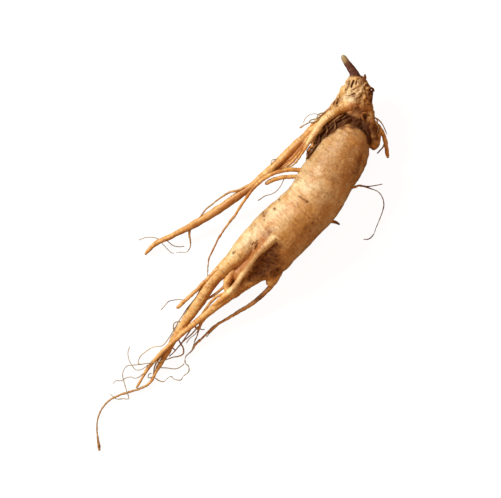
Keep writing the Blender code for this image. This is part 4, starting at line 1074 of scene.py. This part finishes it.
def body_skin():
    """The taproot, neck, legs and side root as one fine skin, with what the material reads."""
    tubes = [taproot_skin()]
    step = 1.0 if FINE else 2.0
    for stations, sides, swell, rings, ring_pitch in BODY:
        tubes.append(skin_tube(stations, int(sides / step), 0.4 * step, swell, 4.0, rings, ring_pitch))
    for station in NECK_KNOBS:
        tubes.append(knob_skin(station))
    obj = join_tubes("root_body", tubes)
    places = places_of(obj.data)
    source_along = np.concatenate([far + NEXT_ROOT * number for number, (_, _, far, _) in enumerate(tubes)])
    source_girth = np.concatenate([girth for _, _, _, girth in tubes])
    voxel_skin(obj)
    carve(obj.data)
    thin_out(obj, MOST_TRIANGLES)
    mesh = obj.data
    carry_over(places, (source_along, source_girth), mesh, ("along", "girth"))
    return obj


def dress(obj, tree):
    """Works out the numbers that the material reads, for one piece."""
    mesh = obj.data
    places, upward = places_of(mesh), normals_of(mesh)[:, 2]
    x, y, z = places.T
    shelter = shelter_of(mesh, tree, SHELTER_RAYS, SHELTER_REACH)
    pale = pale_and_lit_on(places)
    # Painted shadow of the side root's arm, with soil, in the neck's cleft
    cleft = np.clip(1.8 * strongest(places, CLEFT_SHADOW_AND_SOIL, near_line), 0, 1)
    numbers = {
        "shelter": shelter,
        # Soil, and painted shade in the neck's cleft and creases
        "soil_and_shade": soil_and_shade_on(places, upward, shelter),
        # Blotches: painted shade over the taproot's lower half, brown marks elsewhere
        "blotch_and_shade": strongest(places, BLOTCHES_AND_SHADE) * np.clip(upward * 3 + 0.5, 0, 1),
        "marks": carve(mesh, deep=False),
        "shoulder": ramp(x, 8, 24) * ramp(x, 52, 48) * ramp(np.abs(y), 15, 14),
        # Painted shade, partly the skin's own tone: the taproot's side away from the lamp, across below 8.5,
        # from the fork to the shoulder, weaker at its far edge
        "shade_side": ramp(x, 12, 2) * ramp(x, -56, -48) * (1 - 0.6 * ramp(y, -3, -8)) * ramp(y, 8.5, 4),
        # Partly paler skin, partly painted light on the front lateral, the arm and hairs lying in shade
        "pale": pale,
        # Painted shade along lower edges, under strands and between roots
        "orange_shade": strongest(places, ORANGE_SHADE_LINES, near_line),
        "cleft": 0.9 * cleft * ramp(z, 8, 11) * ramp(z, 19.4, 18.2) * (1 - pale),
        "stem": np.clip(3 * near_line(places, STEM_LINE, 4.2), 0, 1),
        "tip": np.clip(1.5 * near_line(places, TIP_LINE, 3.6), 0, 1),
    }
    for name, values in numbers.items():
        keep(mesh, name, values)
    mesh.materials.clear()
    mesh.materials.append(SKIN)
    mesh.shade_smooth()


def claim(obj):
    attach(obj, "root")
    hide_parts("ginseng_root")


def rootlet_skin():
    """Rootlets and hairs, each a fine closed tube that strays a little from its line."""
    tubes = []
    for stations in ROOTLETS.values():
        tubes.append(rootlet_tube(true_radius(stations), 0.12))
    tubes.append(rootlet_tube(UPPER_LEG_TAIL, 0.1))
    for name, stations in HAIRS.items():
        loose = name.startswith("cleft")
        tubes.append(rootlet_tube(stations, 0.5 if loose else 0.16, 0.55 if loose else 0.18))
    obj = join_tubes("rootlets", tubes)
    keep(obj.data, "girth", np.concatenate([girth for _, _, _, girth in tubes]))
    return obj


def rootlet_tube(stations, wander, swell=0.18):
    thickest = max(station[3] for station in stations)
    sides = 12 if thickest > 0.8 else 8
    return skin_tube(stations, sides, 0.45, swell * thickest, 1.6, 0.12 * thickest, 1.3, wander)


def key_lamp():
    """One soft square lamp, which faces the root."""
    data = bpy.data.lights.new("key", "AREA")
    data.size = LAMP_SIZE * MM
    data.energy = LAMP_WATTS
    data.color = LAMP_COLOUR
    obj = bpy.data.objects.new("key", data)
    obj.location = Vector(LAMP_PLACE) * MM
    obj.rotation_euler = (Vector(LAMP_AIM) * MM - obj.location).to_track_quat("-Z", "Y").to_euler()
    bpy.context.scene.collection.objects.link(obj)


def surround():
    """A warm, even light from all sides."""
    world = bpy.data.worlds.new("studio")
    world.use_nodes = True
    background = world.node_tree.nodes["Background"]
    background.inputs["Color"].default_value = SURROUND_COLOUR
    background.inputs["Strength"].default_value = SURROUND_STRENGTH
    bpy.context.scene.world = world


def pale_floor():
    """Matt white board, without a shine. Its own glow doesn't light the root from below."""
    bpy.ops.mesh.primitive_plane_add(size=FLOOR_SIZE * MM)
    obj = bpy.context.active_object
    obj.name = "floor"
    material = bpy.data.materials.new("pale_floor")
    material.use_nodes = True
    shader = material.node_tree.nodes["Principled BSDF"]
    shader.inputs["Base Color"].default_value = linear(FLOOR_GREY)
    shader.inputs["Roughness"].default_value = 1.0
    shader.inputs["Specular IOR Level"].default_value = 0.0
    shader.inputs["Emission Color"].default_value = linear(FLOOR_GLOW)
    shader.inputs["Emission Strength"].default_value = FLOOR_GLOW_STRENGTH
    obj.data.materials.append(material)
    lit = bpy.data.collections.new("lit_by_floor")
    lit.objects.link(obj)
    obj.light_linking.receiver_collection = lit


def camera():
    """Straight down, with the crown towards the upper right as in the photo."""
    data = bpy.data.cameras.new("camera")
    data.sensor_width = CAMERA_SENSOR
    data.lens = CAMERA_LENS
    data.clip_end = CAMERA_REACH * MM
    obj = bpy.data.objects.new("camera", data)
    high = VIEW_WIDTH * CAMERA_LENS / CAMERA_SENSOR + VIEW_HEIGHT
    obj.location = Vector((*VIEW_MIDDLE, high)) * MM
    obj.rotation_euler = (0.0, 0.0, -math.radians(CAMERA_TURN))
    bpy.context.scene.collection.objects.link(obj)
    bpy.context.scene.camera = obj


def colours_as_seen():
    view = bpy.context.scene.view_settings
    view.view_transform = "Standard"
    view.look = "None"
    view.exposure = 0.0


noise.seed_set(NOISE_SEED)
SKIN = root_cork()
body = body_skin()
rootlets = rootlet_skin()
solid = BVHTree.FromPolygons(
    places_of(body.data).tolist(), [tuple(face.vertices) for face in body.data.polygons]
)
dress(body, solid)
dress(rootlets, solid)
claim(body)
claim(rootlets)
pale_floor()
key_lamp()
surround()
camera()
colours_as_seen()
